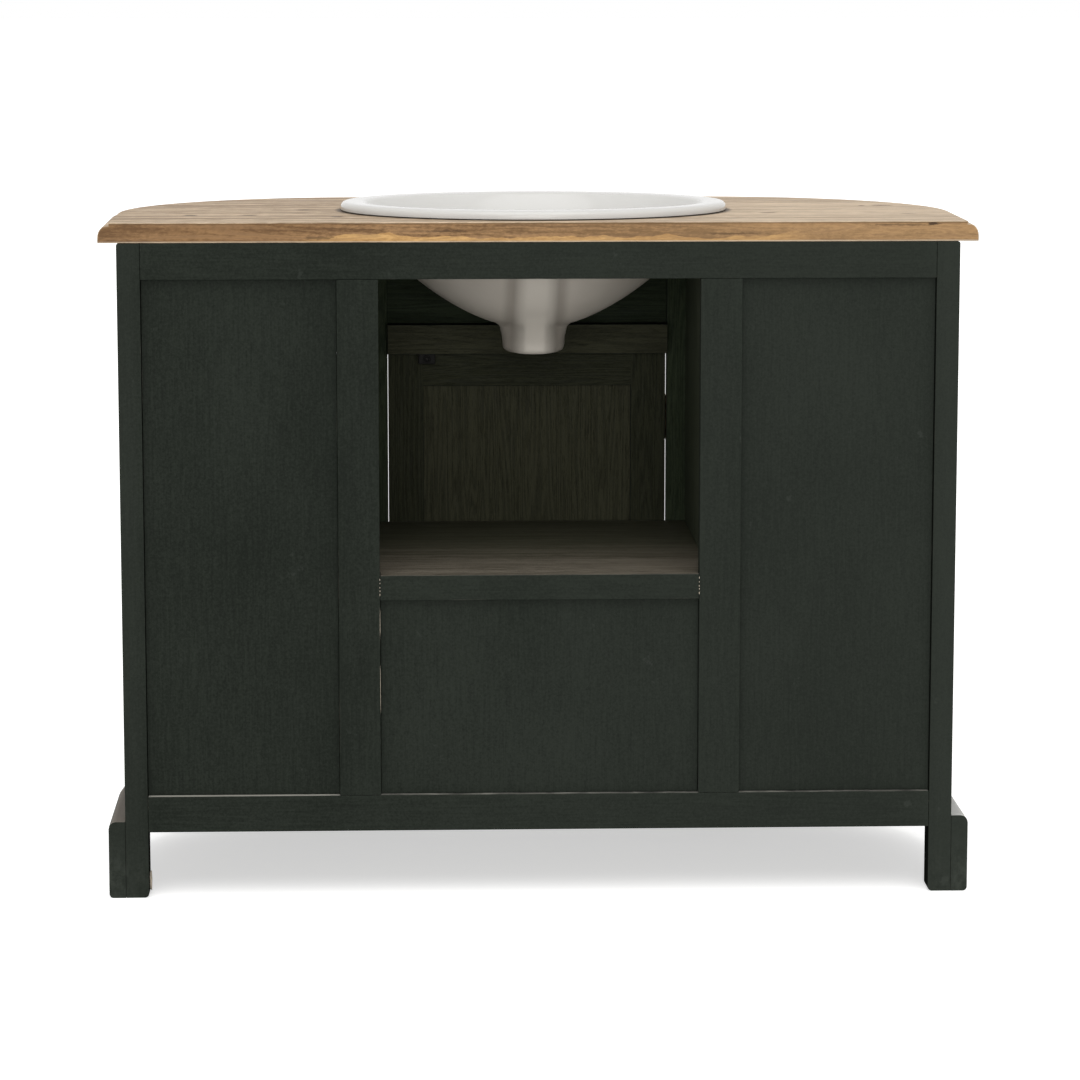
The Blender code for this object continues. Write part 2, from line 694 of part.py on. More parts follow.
def side_door(side, paint, metal):
    word = SIDE_NAMES[side]
    hinge_angle = OUTER_STILE_ANGLE + DOOR_GAP / 2 / END_RADIUS
    start = OUTER_STILE_ANGLE + DOOR_GAP / END_RADIUS
    end = inner_stile_angle(INNER_RADIUS, DOOR_GAP)
    pin = on_end(side, END_RADIUS + PIN_PROUD, hinge_angle)
    pivot = axis_empty(f"{word}_door_axis", *pin, DOOR_BOTTOM)
    stile_angle = DOOR_STILE / END_RADIUS
    frame = bent_frame(side, start, end, DOOR_BOTTOM, DOOR_TOP, stile_angle)
    add(f"{word}_door_frame", frame, paint, pivot)
    fit_angle = FIT / INNER_RADIUS
    face = END_RADIUS - DOOR_PANEL_RECESS
    panel = bent_board(
        side,
        face - PANEL,
        face,
        start + stile_angle + fit_angle,
        end - stile_angle - fit_angle,
        DOOR_BOTTOM + DOOR_RAIL + FIT,
        DOOR_TOP - DOOR_RAIL - FIT,
    )
    add(f"{word}_door_panel", panel, paint, pivot)
    out_dir = (side * math.cos(hinge_angle), math.sin(hinge_angle))
    across_dir = (-side * math.sin(hinge_angle), math.cos(hinge_angle))
    for level, middle in hinge_levels().items():
        hinge(f"{word}_{level}_hinge", pin, across_dir, out_dir, middle, pivot, metal)
    knob_angle = end - stile_angle / 2
    knob_dir = (side * math.cos(knob_angle), math.sin(knob_angle))
    knob(f"{word}_knob", *on_end(side, END_RADIUS, knob_angle), knob_dir, pivot, metal)


def main():
    clear_scene()
    paint = finish("dark_green_paint", (0.027, 0.032, 0.026), 0.55)
    inside = finish("dark_stained_wood", (0.060, 0.045, 0.030), 0.7)
    wood = finish("pale_waxed_wood", (0.50, 0.36, 0.22), 0.6)
    ceramic = finish("white_glaze", (0.80, 0.79, 0.76), 0.12)
    rubber = finish("dark_seal", (0.03, 0.03, 0.03), 0.7)
    metal = finish("aged_brass", (0.33, 0.24, 0.11), 0.4, 1.0)
    black = finish("black_plastic", (0.015, 0.015, 0.015), 0.5)
    back_frame(paint)
    carcass(paint, inside)
    front_frame(paint)
    skirting(paint)
    worktop(wood)
    basin(ceramic, rubber)
    centre_door(paint, metal, black)
    side_door(LEFT, paint, metal)
    side_door(RIGHT, paint, metal)


main()
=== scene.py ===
"""Looks of the bow-ended vanity unit: painted and stained wood, pale top, ceramic basin, light and camera.

Metres, +Z up. The front faces -Y, and the picture is taken from behind, from +Y.
"""

import json
import math
import random

import bmesh
import bpy
from mathutils import Matrix, Vector

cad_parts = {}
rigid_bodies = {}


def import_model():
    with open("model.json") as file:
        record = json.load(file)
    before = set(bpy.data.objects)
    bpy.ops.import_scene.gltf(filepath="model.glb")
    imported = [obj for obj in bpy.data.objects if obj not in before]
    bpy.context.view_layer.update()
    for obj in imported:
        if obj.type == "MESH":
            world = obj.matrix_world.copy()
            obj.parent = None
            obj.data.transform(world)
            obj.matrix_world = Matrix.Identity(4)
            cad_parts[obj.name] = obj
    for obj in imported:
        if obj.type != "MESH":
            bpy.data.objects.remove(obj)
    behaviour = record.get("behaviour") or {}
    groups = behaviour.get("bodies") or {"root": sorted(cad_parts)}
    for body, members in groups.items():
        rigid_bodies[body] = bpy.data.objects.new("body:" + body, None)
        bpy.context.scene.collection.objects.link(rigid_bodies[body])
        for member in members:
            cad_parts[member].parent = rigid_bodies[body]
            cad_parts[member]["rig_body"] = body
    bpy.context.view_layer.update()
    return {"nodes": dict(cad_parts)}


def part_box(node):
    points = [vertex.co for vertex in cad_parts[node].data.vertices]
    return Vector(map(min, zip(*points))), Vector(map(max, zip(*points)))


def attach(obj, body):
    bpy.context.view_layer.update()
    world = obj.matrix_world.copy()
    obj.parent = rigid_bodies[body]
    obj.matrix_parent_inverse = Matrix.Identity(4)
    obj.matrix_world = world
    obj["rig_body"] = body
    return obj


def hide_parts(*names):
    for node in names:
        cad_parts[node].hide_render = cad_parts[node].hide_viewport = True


# Camera: place in metres, turn in radians, focal length and frame in pixels, sensor in millimetres
CAMERA_PLACE = (0.1794, 5.1065, 1.199)
CAMERA_YAW = -0.037
CAMERA_PITCH = 0.1514
CAMERA_FOCUS = 3893.8
FRAME_SIZE = 1080.0
SENSOR = 36.0

# Light: strength, spread in degrees and direction of each lamp
WORLD_LIGHT = 0.55
SKY_PANEL = (1.40, 50.0, (-0.02, -0.60, -1.0))
FRONT_PANEL = (0.75, 24.0, (-0.02, -1.0, -0.14))
FAR_PANEL = (0.45, 60.0, (0.25, 1.0, -0.55))

# Floor: strength of the white that the camera sees on it, and half its width
FLOOR_GLOW = 0.55
FLOOR_HALF = 60.0

# Plan of the cabinet, heights of the top, and its planks
BACK_Y = 0.2555
ARC_X = 0.227
ARC_Y = 0.0675
TOP_UNDER = 0.834
TOP_FACE = 0.859
PLANK = 0.1515
PLANK_FIRST = 0.072
PLANK_OFFSET = (3.71, 1.37, 2.19)
PITH_Z = 0.800

# Where the feet, posts and skirting are found
PLANE_REACH = 0.001
POST_INNER = 0.51
POST_OUTER = 0.515
HEAD_Z = 0.8
SKIRT_SIDE = 0.54
SKIRT_FRONT = -0.245
SKIRT_RADIUS = 0.315
LEDGE_Z = 0.08

# Least share of a face's normal in a direction, for a face that looks that way
LEANING = 0.3
FACING = 0.5
LEDGE_FACING = 0.6
SQUARE_ON = 0.9

# How coordinates are stretched along the grain: upright, left to right, or round the bent ends
GRAIN = {"up": (1.0, 1.0, 0.055), "across": (0.055, 1.0, 1.0), "round": (0.10, 0.10, 1.0)}

# Colour sockets of the mixing node, and the shine of a surface that states none
MIX_FIRST = 6
MIX_SECOND = 7
MIX_OUT = 2
PLAIN_SHINE = 0.5

# Knots and cracks in the top: place across, depth or height, half length, half width, strength
TOP_MARKS = [
    (-0.464, -0.045, 0.016, 0.0080, 0.95),
    (-0.437, -0.041, 0.005, 0.0060, 0.80),
    (-0.478, 0.118, 0.012, 0.0060, 0.50),
    (-0.300, 0.090, 0.014, 0.0090, 0.60),
    (0.441, 0.118, 0.010, 0.0110, 0.88),
    (0.366, 0.118, 0.012, 0.0100, 0.80),
    (0.300, 0.020, 0.013, 0.0100, 0.75),
    (0.255, 0.150, 0.009, 0.0100, 0.75),
    (-0.120, -0.205, 0.018, 0.0050, 0.60),
]
EDGE_MARKS = [
    (-0.493, 0.8558, 0.008, 0.0022, 0.95),
    (-0.447, 0.8545, 0.040, 0.0012, 0.55),
    (0.120, 0.8480, 0.026, 0.0018, 0.50),
    (0.275, 0.8400, 0.022, 0.0022, 0.60),
    (-0.240, 0.8440, 0.034, 0.0015, 0.45),
]

# Names of the sides, doors and hinge places, and the upright direction
SIDES = ("left", "right")
DOORS = ("centre", "left", "right")
LEVELS = ("lower", "upper")
UP = Vector((0.0, 0.0, 1.0))

# Softened edges
WELD = 0.000002
SLIVER = 0.00012
FLAT_ANGLE = math.radians(0.4)
EDGE_ANGLE = math.radians(25)
CREASE_ANGLE = math.radians(50)
FRAME_EDGE = 0.0006
BOARD_EDGE = 0.0010
POST_EDGE = 0.0030
FOOT_EDGE = 0.0055
LEDGE_EDGE = 0.0009
PANEL_TUCK = 0.002
HAIR = 0.00005
SNUG = 0.0004
LATCH_SNUG = 0.0006
METAL_EDGE = 0.00015
CATCH_EDGE = 0.0012
SEAL_EDGE = 0.0004
EDGE_STEPS = 3
ROUND_STEPS = 5
END_REACH = 0.00001
EVEN_WEIGHT = 80

# Stop strip behind the upper edge of the middle door
STOP_CLEAR = 0.0005
STOP_THICK = 0.0020
STOP_DROP = 0.0024

# Basin
BASIN_Y = 0.0235
RIM_X = 0.2510
RIM_Y = 0.2070
RIM_TOP = 0.871
RIM_UNDER = 0.861
LIP_UNDER = 0.8600
BOWL_X = 0.2197
BOWL_Y = 0.1757
BOWL_WALL = 0.010
BOWL_DEPTH = 0.148
BOWL_LOW_SHARE = 0.745
BOWL_LOW_POWER = 1.4
BOWL_HIGH_POWER = 6.0
BOSS_RADIUS = 0.0405
BOSS_FLARE = 0.003
BOSS_LOW = 0.674
BOSS_ROUND = 0.009
BOSS_STEPS = 6
OUTLET_RADIUS = 0.023
OUTLET_EDGE = 0.001
OUTLET_DROP = 0.003
CHANNEL_HALF = 0.027
CHANNEL_PROUD = 0.012
CHANNEL_BLEND = 0.006
CHANNEL_EASE = 0.68
CHANNEL_CROWD = 0.42
CHANNEL_STOP = 0.004
DUCT_LOW = 0.684
DUCT_HIGH = 0.745
DUCT_NEAR = 0.0525
DUCT_FAR = 0.1120
DUCT_POWER = 1.4
FILLET_DROP = 0.008
FILLET_SHARE = 0.05
FILLET_STEPS = 8
BASIN_SIDES = 168
BOWL_STEPS = 26

# Section of the basin's rim: inset from its outline, with a height below it and a drop from its top
LIP_ROUND = 0.0009
RIM_ROUND = 0.0070
RIM_STEPS = 6
RIM_LOWER = [(0.010, RIM_UNDER), (0.0044, RIM_UNDER), (0.0040, LIP_UNDER + 0.0003), (0.0036, LIP_UNDER)]
RIM_UPPER = [(0.012, 0.0), (0.024, 0.0002), (0.028, 0.0006)]
RIM_UPPER += [(0.031, 0.0017), (0.033, 0.0034), (0.0348, 0.0062)]

# Overflow hole
HOLE_Y = 0.1605
HOLE_Z = 0.846
HOLE_RADIUS = 0.0065
HOLE_RING = 0.0105
HOLE_LEAN = 0.62
HOLE_SINK = 0.0035
HOLE_THICK = 0.0012
HOLE_SIDES = 32

# Knobs: share of the length, and radius there
KNOB_SIDES = 48
KNOB_PROFILE = [
    (0.00, 0.0088), (0.04, 0.0090), (0.10, 0.0089), (0.14, 0.0078), (0.20, 0.0064), (0.32, 0.0058),
    (0.44, 0.0062), (0.52, 0.0084), (0.58, 0.0116), (0.66, 0.0136), (0.74, 0.0139), (0.82, 0.0134),
    (0.89, 0.0116), (0.95, 0.0085), (0.985, 0.0045), (1.00, 0.0),
]

# Screw heads: distance from the base, and share of the head's radius
SCREW_PROFILE = [(-0.0002, 1.0), (0.00003, 1.0), (0.00009, 0.86), (0.00010, 0.0)]
SCREW_STEP = 0.018
SCREW_INSET = 0.0065
SCREW_HEAD = 0.0026
SCREW_SIDES = 24
SLOT_LONG = 1.7
SLOT_WIDE = 0.26
SLOT_THICK = 0.00008
SLOT_RISE = 0.00013
LEAF_REACH = 0.0003

# Collar of the catch: distance from the base, and radius there
COLLAR_SIDES = 32
COLLAR_SCREW = 0.0022
COLLAR_RISE = 0.0003
COLLAR_SLOT = (0.6, 0.0, 0.8)
COLLAR_PROFILE = [
    (-0.0005, 0.0054), (0.0009, 0.0054), (0.0013, 0.0049), (0.0013, 0.0037), (0.0001, 0.0034), (0.0001, 0.0),
]

# Pale flakes, for chips in the paint and for painted light: sides of a flake, least reach of a corner, share
# that is left at its top
FLAKE_SIDES = 14
FLAKE_LEAST = 0.55
FLAKE_TOP = 0.86
FLAKE_THICK = 0.0005
FOOT_CHIP = ((0.4968, BACK_Y - 0.0210, 0.0185), (0.0022, 0.024, 0.030))
FOOT_SEED = 3
# Pale flakes at the middle rail's joints: painted light showing through the joint gaps
JOINT_LIGHT_LEAKS = 5
JOINT_SEED = 20
JOINT_X = 0.2019
JOINT_Y = BACK_Y - 0.0003
JOINT_Z = 0.389
JOINT_STEP = 0.0048
JOINT_STRAY = 0.001
JOINT_WIDE = (0.0009, 0.0004)
JOINT_TALL = (0.0026, 0.0022)
# Pale flakes along a middle stile's edge: bare-wood chips that also paint the highlight on that edge
STILE_X = 0.2020
STILE_Y = BACK_Y - 0.0005
STILE_CHIPS_AND_HIGHLIGHT = ((0.352, 0.046), (0.268, 0.074))
STILE_CHIP_AND_HIGHLIGHT_WIDE = 0.0007
STILE_SEED = 40

for leftover in list(bpy.data.objects):
    bpy.data.objects.remove(leftover)

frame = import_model()
nodes = frame["nodes"]
random.seed(7)


# Shader building


def new_material(name):
    material = bpy.data.materials.new(name)
    material.use_nodes = True
    return material, material.node_tree


def is_socket(value):
    return isinstance(value, bpy.types.NodeSocket)


def plug(socket, value):
    """Links a socket, or sets a plain value on the input."""
    if is_socket(value):
        socket.id_data.links.new(value, socket)
    else:
        socket.default_value = value


def make(tree, kind, *values):
    """Adds a node and plugs values into its first inputs."""
    made = tree.nodes.new("ShaderNode" + kind)
    for socket, value in zip(made.inputs, values):
        plug(socket, value)
    return made


def fill(node, values):
    """Plugs values into the inputs that they are named for."""
    for name, value in values.items():
        plug(node.inputs[name], value)


def noise(tree, scale, detail=4.0, rough=0.55, distortion=0.0, offset=None):
    """Noise in object coordinates, moved by an offset and stretched by a scale for each axis."""
    source = make(tree, "TexCoord").outputs["Object"]
    if offset is not None:
        source = make(tree, "VectorMath", source, offset).outputs[0]
    mapping = make(tree, "Mapping", source)
    fill(mapping, {"Scale": scale})
    made = make(tree, "TexNoise", mapping.outputs[0])
    fill(made, {"Scale": 1.0, "Detail": detail, "Roughness": rough, "Distortion": distortion})
    return made.outputs[0]


def maths(operation, first, second=0.0):
    """An operation on two values. At least one is a socket, which gives the node tree."""
    socket = first if is_socket(first) else second
    made = make(socket.id_data, "Math", first, second)
    made.operation = operation
    return made.outputs[0]


def times(first, second):
    return maths("MULTIPLY", first, second)


def plus(first, second):
    return maths("ADD", first, second)


def minus(first, second):
    return maths("SUBTRACT", first, second)


def weighed(*terms):
    """The sum of values, each times its weight."""
    total = 0.0
    for value, weight in terms:
        total = plus(total, times(value, weight))
    return total


def oval(across, half_across, deep, half_deep):
    """Distance from the middle of an oval, where 1 is its outline."""
    first = maths("POWER", maths("DIVIDE", across, half_across), 2.0)
    second = maths("POWER", maths("DIVIDE", deep, half_deep), 2.0)
    return maths("SQRT", plus(first, second))


def spread(value, low, high, to_low=0.0, to_high=1.0):
    """Maps low..high onto another range, clamped and eased."""
    made = make(value.id_data, "MapRange", value, low, high, to_low, to_high)
    made.interpolation_type = "SMOOTHSTEP"
    return made.outputs[0]


def blend(factor, first, second):
    made = make(factor.id_data, "Mix", factor)
    made.data_type = "RGBA"
    plug(made.inputs[MIX_FIRST], first)
    plug(made.inputs[MIX_SECOND], second)
    return made.outputs[MIX_OUT]


def wash(colour, value, low, high, strength, tint):
    """Lays a tint over a colour: none of it at a low value, its full strength at a high one."""
    return blend(spread(value, low, high, 0.0, strength), colour, rgb(*tint))


def rgb(red, green, blue):
    return (red, green, blue, 1.0)


def relief(height, depth, below=None):
    """Fine surface relief, depth in metres."""
    made = make(height.id_data, "Bump")
    fill(made, {"Strength": 1.0, "Distance": depth, "Height": height})
    if below is not None:
        fill(made, {"Normal": below})
    return made.outputs[0]


def axes(tree, kind="Object"):
    """The x, y and z of a point, or of its normal, in the object's own coordinates."""
    return make(tree, "SeparateXYZ", make(tree, "TexCoord").outputs[kind]).outputs


def coat(material, colour, rough, normal, shine=PLAIN_SHINE, metallic=0.0):
    """Gives a material its colour, roughness, relief and shine."""
    shader = material.node_tree.nodes["Principled BSDF"]
    fill(shader, {"Base Color": colour, "Roughness": rough, "Normal": normal})
    fill(shader, {"Specular IOR Level": shine, "Metallic": metallic})
    return material


def grain(axis, scale, shorten=1.0):
    """Coordinate scales for marks along the grain. shorten makes the marks shorter."""
    return tuple(scale * min(1.0, share * shorten) for share in GRAIN[axis])


def paint(axis, worn):
    """Matt green-black paint, brushed along the grain. The worn one, for edges, shows bare wood in places."""
    material, tree = new_material(f"paint_{axis}_{'worn' if worn else 'face'}")
    x, _, z = axes(tree)
    aside = maths("ABSOLUTE", x)
    strokes = noise(tree, grain(axis, 320), 5, rough=0.62)
    patches = noise(tree, (5.5, 5.5, 4.0), 3)
    pores = noise(tree, grain(axis, 900), 3, rough=0.7)
    speckle = noise(tree, (330, 330, 330), 6, rough=0.8)
    tone = spread(weighed((strokes, 0.65), (patches, 0.45), (speckle, 1.1)), 0.82, 1.38)
    colour = blend(tone, rgb(0.0062, 0.0088, 0.0058), rgb(0.0210, 0.0258, 0.0200))

    # Painted light: paler to one side, as light falls from that side. Paler at both ends, scrubbed at the
    # feet, with scuffs of dust and rubbed edges
    colour = wash(colour, x, 0.45, -0.45, 0.30, (0.0235, 0.0280, 0.0230))
    colour = wash(colour, aside, 0.485, 0.515, 0.30, (0.0290, 0.0340, 0.0280))
    smears = spread(noise(tree, (95, 95, 60), 6, rough=0.75), 0.38, 0.66)
    scrubbed = times(spread(z, 0.088, 0.02, 0.0, 0.85), smears)
    scrubbed = times(scrubbed, spread(aside, 0.520, 0.532, 0.40, 1.0))
    colour = blend(scrubbed, colour, rgb(0.0400, 0.0460, 0.0380))
    scuffs = noise(tree, (38, 38, 30), 7, rough=0.68)
    colour = wash(colour, scuffs, 0.655, 0.72, 0.22, (0.062, 0.070, 0.060))
    if worn:
        rubbed = noise(tree, grain(axis, 170), 6, rough=0.7)
        colour = wash(colour, rubbed, 0.56, 0.70, 0.55, (0.105, 0.098, 0.082))
    rough = spread(strokes, 0.3, 0.7, 0.50, 0.68)
    return coat(material, colour, rough, relief(strokes, 0.00030, relief(pores, 0.00012)), 0.08)


def ledge_dust_and_highlight(axis, pale):
    """Paint on narrow ledges that face up: pale with dust and a painted highlight, which grows to one side
    and is palest at a back corner.
    """
    material, tree = new_material(f"paint_{axis}_ledge")
    x, y, _ = axes(tree)
    dust = noise(tree, (24, 60, 60), 6, rough=0.65)
    # Painted highlight, mottled with dust: paler towards one side
    more = plus(dust, spread(x, 0.20, 0.30, 0.0, 0.30))
    colour = blend(spread(more, 0.32, 0.85), rgb(0.030, 0.031, 0.026), pale)
    # Painted highlight at one back corner, mottled with dust
    corner_dust_and_highlight = times(spread(x, -0.515, -0.522), spread(y, 0.04, 0.15))
    corner_dust_and_highlight = times(corner_dust_and_highlight, spread(dust, 0.25, 0.55, 0.60, 0.95))
    colour = blend(corner_dust_and_highlight, colour, rgb(0.53, 0.53, 0.51))
    return coat(material, colour, 0.7, relief(dust, 0.0003))


def painted_shade_black():
    """Dull, nearly black paint on the posts' inner sides: painted shade."""
    material, tree = new_material("paint_inner_side_shade")
    strokes = noise(tree, grain("up", 320))
    colour = blend(strokes, rgb(0.0060, 0.0072, 0.0060), rgb(0.0150, 0.0172, 0.0145))
    return coat(material, colour, 0.95, relief(strokes, 0.0003), 0.0)


def stain(name, axis, dark, light, streaked=0.0, far=None):
    """Dark stained wood, with open pores and a quiet ring figure, for the inside.

    streaked adds wide streaks. far is a painted shade: the darker colour laid over boards deep in the
    cabinet, towards the front.
    """
    material, tree = new_material(f"{name}_{axis}")
    warp = noise(tree, grain(axis, 34), 2, rough=0.4)
    rings = spread(maths("SINE", times(warp, 120.0)), -1.0, 1.0)
    fibres = noise(tree, grain(axis, 520), 5, rough=0.68)
    pores = spread(noise(tree, grain(axis, 1100), 2), 0.55, 0.70)
    patches = noise(tree, (4.2, 4.2, 4.2), 2)
    dashes = noise(tree, grain(axis, 820, 5.0), rough=0.75)
    terms = [(rings, 0.20), (fibres, 0.52), (dashes, 0.62), (patches, 0.35)]
    if streaked:
        streaks = noise(tree, (2.6, 78, 78), 5, rough=0.72)
        terms.append((minus(streaks, 0.5), streaked))
    colour = blend(spread(weighed(*terms), 0.50, 1.14), dark, light)
    colour = blend(times(pores, 0.45), colour, rgb(0.010, 0.010, 0.006))
    # Painted shade: boards darken deep in the cabinet, towards the front
    if far is not None:
        colour = blend(spread(axes(tree)[1], 0.20, -0.08, 0.0, 0.60), colour, far)
    rough = spread(fibres, 0.3, 0.7, 0.52, 0.72)
    depth = minus(fibres, times(pores, 0.8))
    return coat(material, colour, rough, relief(depth, 0.00022), 0.10)


def sawn_colour(tree, tone, along, height):
    """Colour of the top's sawn back edge: warm wood, with a paler band low on it."""
    colour = blend(tone, rgb(0.110, 0.055, 0.021), rgb(0.385, 0.222, 0.100))
    wave = noise(tree, (7.5, 0.0, 0.0), rough=0.6)
    line = plus(TOP_UNDER - 0.013, times(wave, 0.040))
    under = spread(minus(line, height), -0.0006, 0.0006)
    reach = times(spread(along, -0.36, -0.27), spread(along, 0.33, 0.26))
    sapwood = blend(tone, rgb(0.36, 0.195, 0.068), rgb(0.62, 0.375, 0.148))
    colour = blend(times(under, reach), colour, sapwood)

    # Painted light: lighter to one side and darker brown to the other, as light falls from one side, with a
    # dark upper corner and a pale lower corner
    colour = wash(colour, along, 0.35, -0.50, 0.42, (0.45, 0.285, 0.137))
    colour = wash(colour, along, 0.18, 0.36, 0.42, (0.165, 0.088, 0.037))
    upper = minus(height, TOP_FACE)
    colour = wash(colour, upper, -0.0032, -0.0014, 0.62, (0.085, 0.045, 0.019))
    # The pale lower corner is a painted highlight
    lower = minus(height, TOP_UNDER)
    return wash(colour, lower, 0.0022, 0.0011, 0.75, (0.56, 0.47, 0.37))


def face_colour(tree, tone, along, depth, grit, own):
    """Colour of the top's upper face: pale wood with dark lines, painted light to one side, and a painted
    shadow round the basin.
    """
    colour = blend(tone, rgb(0.235, 0.160, 0.095), rgb(0.66, 0.510, 0.352))
    # Painted light: paler to one side, as light falls from that side
    colour = wash(colour, along, 0.25, -0.42, 0.36, (0.72, 0.585, 0.43))
    lines = noise(tree, (1.0, 46.0, 46.0), 3, rough=0.6, offset=own)
    colour = wash(colour, lines, 0.545, 0.605, 0.80, (0.215, 0.144, 0.090))
    # Painted shadow on the wood round the basin's rim
    from_rim = oval(along, RIM_X, minus(depth, BASIN_Y), RIM_Y)
    rim_shadow = plus(from_rim, times(minus(grit, 0.5), 0.03))
    return wash(colour, rim_shadow, 1.040, 1.008, 0.85, (0.045, 0.032, 0.022))


def end_colour(tree, plank, from_back, height, own):
    """Colour of the sawn ends of the planks: growth rings round each plank's own middle."""
    sideways = times(minus(maths("FRACT", from_back), 0.5), PLANK)
    pith = maths("SINE", times(plank, 2.3))
    sideways = plus(sideways, times(pith, 0.03))
    reach = oval(sideways, 1.0, minus(height, PITH_Z), 1.0)
    wobble = noise(tree, (30.0, 30.0, 30.0), 3, offset=own)
    reach = plus(reach, times(wobble, 0.006))
    arcs = spread(maths("SINE", times(reach, 1500.0)), -1.0, 1.0)
    fine = noise(tree, (420.0, 420.0, 420.0), rough=0.7)
    tone = spread(weighed((arcs, 0.30), (fine, 0.90)), 0.30, 0.90)
    return blend(tone, rgb(0.260, 0.175, 0.103), rgb(0.520, 0.385, 0.255))


def plank_wood(part):
    """Old pale planks that run left to right, for the top's upper face or its sawn back edge."""
    material, tree = new_material(f"top_wood_{part}")
    sawn = part == "edge"
    along, depth, height = axes(tree)
    from_back = maths("DIVIDE", minus(BACK_Y + PLANK - PLANK_FIRST, depth), PLANK)
    plank = maths("FLOOR", from_back)
    own = make(tree, "CombineXYZ", *[times(plank, step) for step in PLANK_OFFSET]).outputs[0]

    # Ring figure, fibres, pores and the tone of each plank
    close = 2.2 if sawn else 1.0
    warp_scale = (0.9 * close, 9.0 * close, 9.0 * close)
    warp = noise(tree, warp_scale, 3, rough=0.5, distortion=0.35, offset=own)
    waves = maths("SINE", times(warp, 95.0))
    rings = spread(waves, -1.0, 1.0)
    late_wood = spread(waves, 0.45, 1.0)
    fibres = noise(tree, (9.0, 330.0, 330.0), 5, rough=0.66, offset=own)
    grit_scale = (110.0, 340.0, 340.0) if sawn else (42.0, 140.0, 140.0)
    grit = noise(tree, grit_scale, 6, rough=0.78, offset=own)
    streaks = noise(tree, (2.2, 70.0, 70.0), 6, rough=0.74, offset=own)
    patches = noise(tree, (3.6, 7.0, 7.0), 3, offset=own)
    gritty = minus(grit, 0.5)
    terms = [(rings, 0.22), (fibres, 0.42), (streaks, 1.35), (gritty, 1.30), (patches, 0.40)]
    tone = spread(weighed(*terms), 0.87, 1.53)
    if sawn:
        colour = sawn_colour(tree, tone, along, height)
    else:
        colour = face_colour(tree, tone, along, depth, grit, own)

    # Sawn ends, late-wood lines, knots, short dark cracks and the seams between planks
    end = spread(maths("ABSOLUTE", axes(tree, "Normal")[0]), 0.30, 0.75)
    flat = minus(1.0, end)
    colour = blend(end, colour, end_colour(tree, plank, from_back, height, own))
    lines = times(times(late_wood, flat), 0.26)
    colour = blend(lines, colour, rgb(0.150, 0.086, 0.045))
    broken = times(gritty, 2.6)
    other = height if sawn else depth
    marks = 0.0
    for spot_x, spot_other, half_length, half_width, strength in EDGE_MARKS if sawn else TOP_MARKS:
        aside = minus(along, spot_x)
        reach = oval(aside, half_length, minus(other, spot_other), half_width)
        inside = spread(plus(reach, broken), 1.15, 0.55, 0.0, strength)
        marks = maths("MAXIMUM", inside, marks)
    colour = blend(marks, colour, rgb(0.055, 0.030, 0.015))
    splits = noise(tree, (8.0, 95.0, 95.0), 6, rough=0.62, offset=own)
    where = spread(noise(tree, (4.5, 11.0, 11.0), 2, offset=own), 0.50, 0.62)
    cracks = times(times(spread(splits, 0.66, 0.71), where), flat)
    colour = blend(times(cracks, 0.85), colour, rgb(0.045, 0.026, 0.014))
    raised = minus(fibres, times(cracks, 2.5))
    if not sawn:
        near = maths("ABSOLUTE", minus(maths("FRACT", from_back), 0.5))
        seam = spread(near, 0.4905, 0.4965)
        colour = blend(times(seam, 0.80), colour, rgb(0.060, 0.036, 0.020))
        raised = minus(raised, times(seam, 3.0))
    rough = spread(fibres, 0.3, 0.7, 0.50, 0.70)
    return coat(material, colour, rough, relief(raised, 0.00030), 0.22)


def bare_wood_and_painted_light():
    """Pale wood that shows where paint has chipped off, also used for painted light at the middle rail and
    stile.
    """
    material, tree = new_material("bare_wood_and_painted_light")
    fibres = noise(tree, (160, 160, 40), 5)
    colour = blend(fibres, rgb(0.36, 0.29, 0.21), rgb(0.70, 0.62, 0.51))
    return coat(material, colour, 0.8, relief(fibres, 0.0003))


def glaze():
    """White glazed ceramic with faint waves in the glaze."""
    material, tree = new_material("ceramic_glaze")
    waves = noise(tree, (26, 26, 26), 2)
    specks = noise(tree, (260, 260, 260), 3)
    tint = blend(waves, rgb(0.618, 0.612, 0.591), rgb(0.662, 0.656, 0.640))
    tint = wash(tint, specks, 0.70, 0.76, 0.12, (0.30, 0.27, 0.22))
    rough = spread(waves, 0.3, 0.7, 0.10, 0.18)
    return coat(material, tint, rough, relief(waves, 0.00025), 0.30)


def biscuit():
    """The bare, warm grey underside of the basin, with painted light down the overflow channel's middle and
    painted shade along its flanks.
    """
    material, tree = new_material("ceramic_underside")
    clouds = noise(tree, (14, 14, 9))
    grit = noise(tree, (620, 620, 620), rough=0.7)
    tint = blend(clouds, rgb(0.40, 0.365, 0.318), rgb(0.52, 0.482, 0.43))
    tint = wash(tint, grit, 0.58, 0.72, 0.35, (0.27, 0.24, 0.205))
    aside = maths("ABSOLUTE", axes(tree)[0])
    # Painted light: the channel's middle is paler
    tint = wash(tint, aside, 0.026, 0.018, 0.55, (0.64, 0.60, 0.535))
    # Painted shade in the creases beside the channel
    crease_shade = spread(aside, 0.046, 0.033, 0.0, 0.5)
    crease_shade = times(spread(aside, 0.023, 0.030), crease_shade)
    tint = blend(crease_shade, tint, rgb(0.20, 0.175, 0.148))
    rough = spread(clouds, 0.3, 0.7, 0.48, 0.66)
    return coat(material, tint, rough, relief(grit, 0.00015), 0.35)


# Dark rubber for the seal, also used as painted shade in the screw slots and the overflow hole
def rubber_and_hole_shade():
    material, tree = new_material("seal")
    dust = noise(tree, (180, 180, 180), 5)
    colour = blend(dust, rgb(0.016, 0.015, 0.014), rgb(0.060, 0.056, 0.050))
    return coat(material, colour, 0.62, relief(dust, 0.0002))


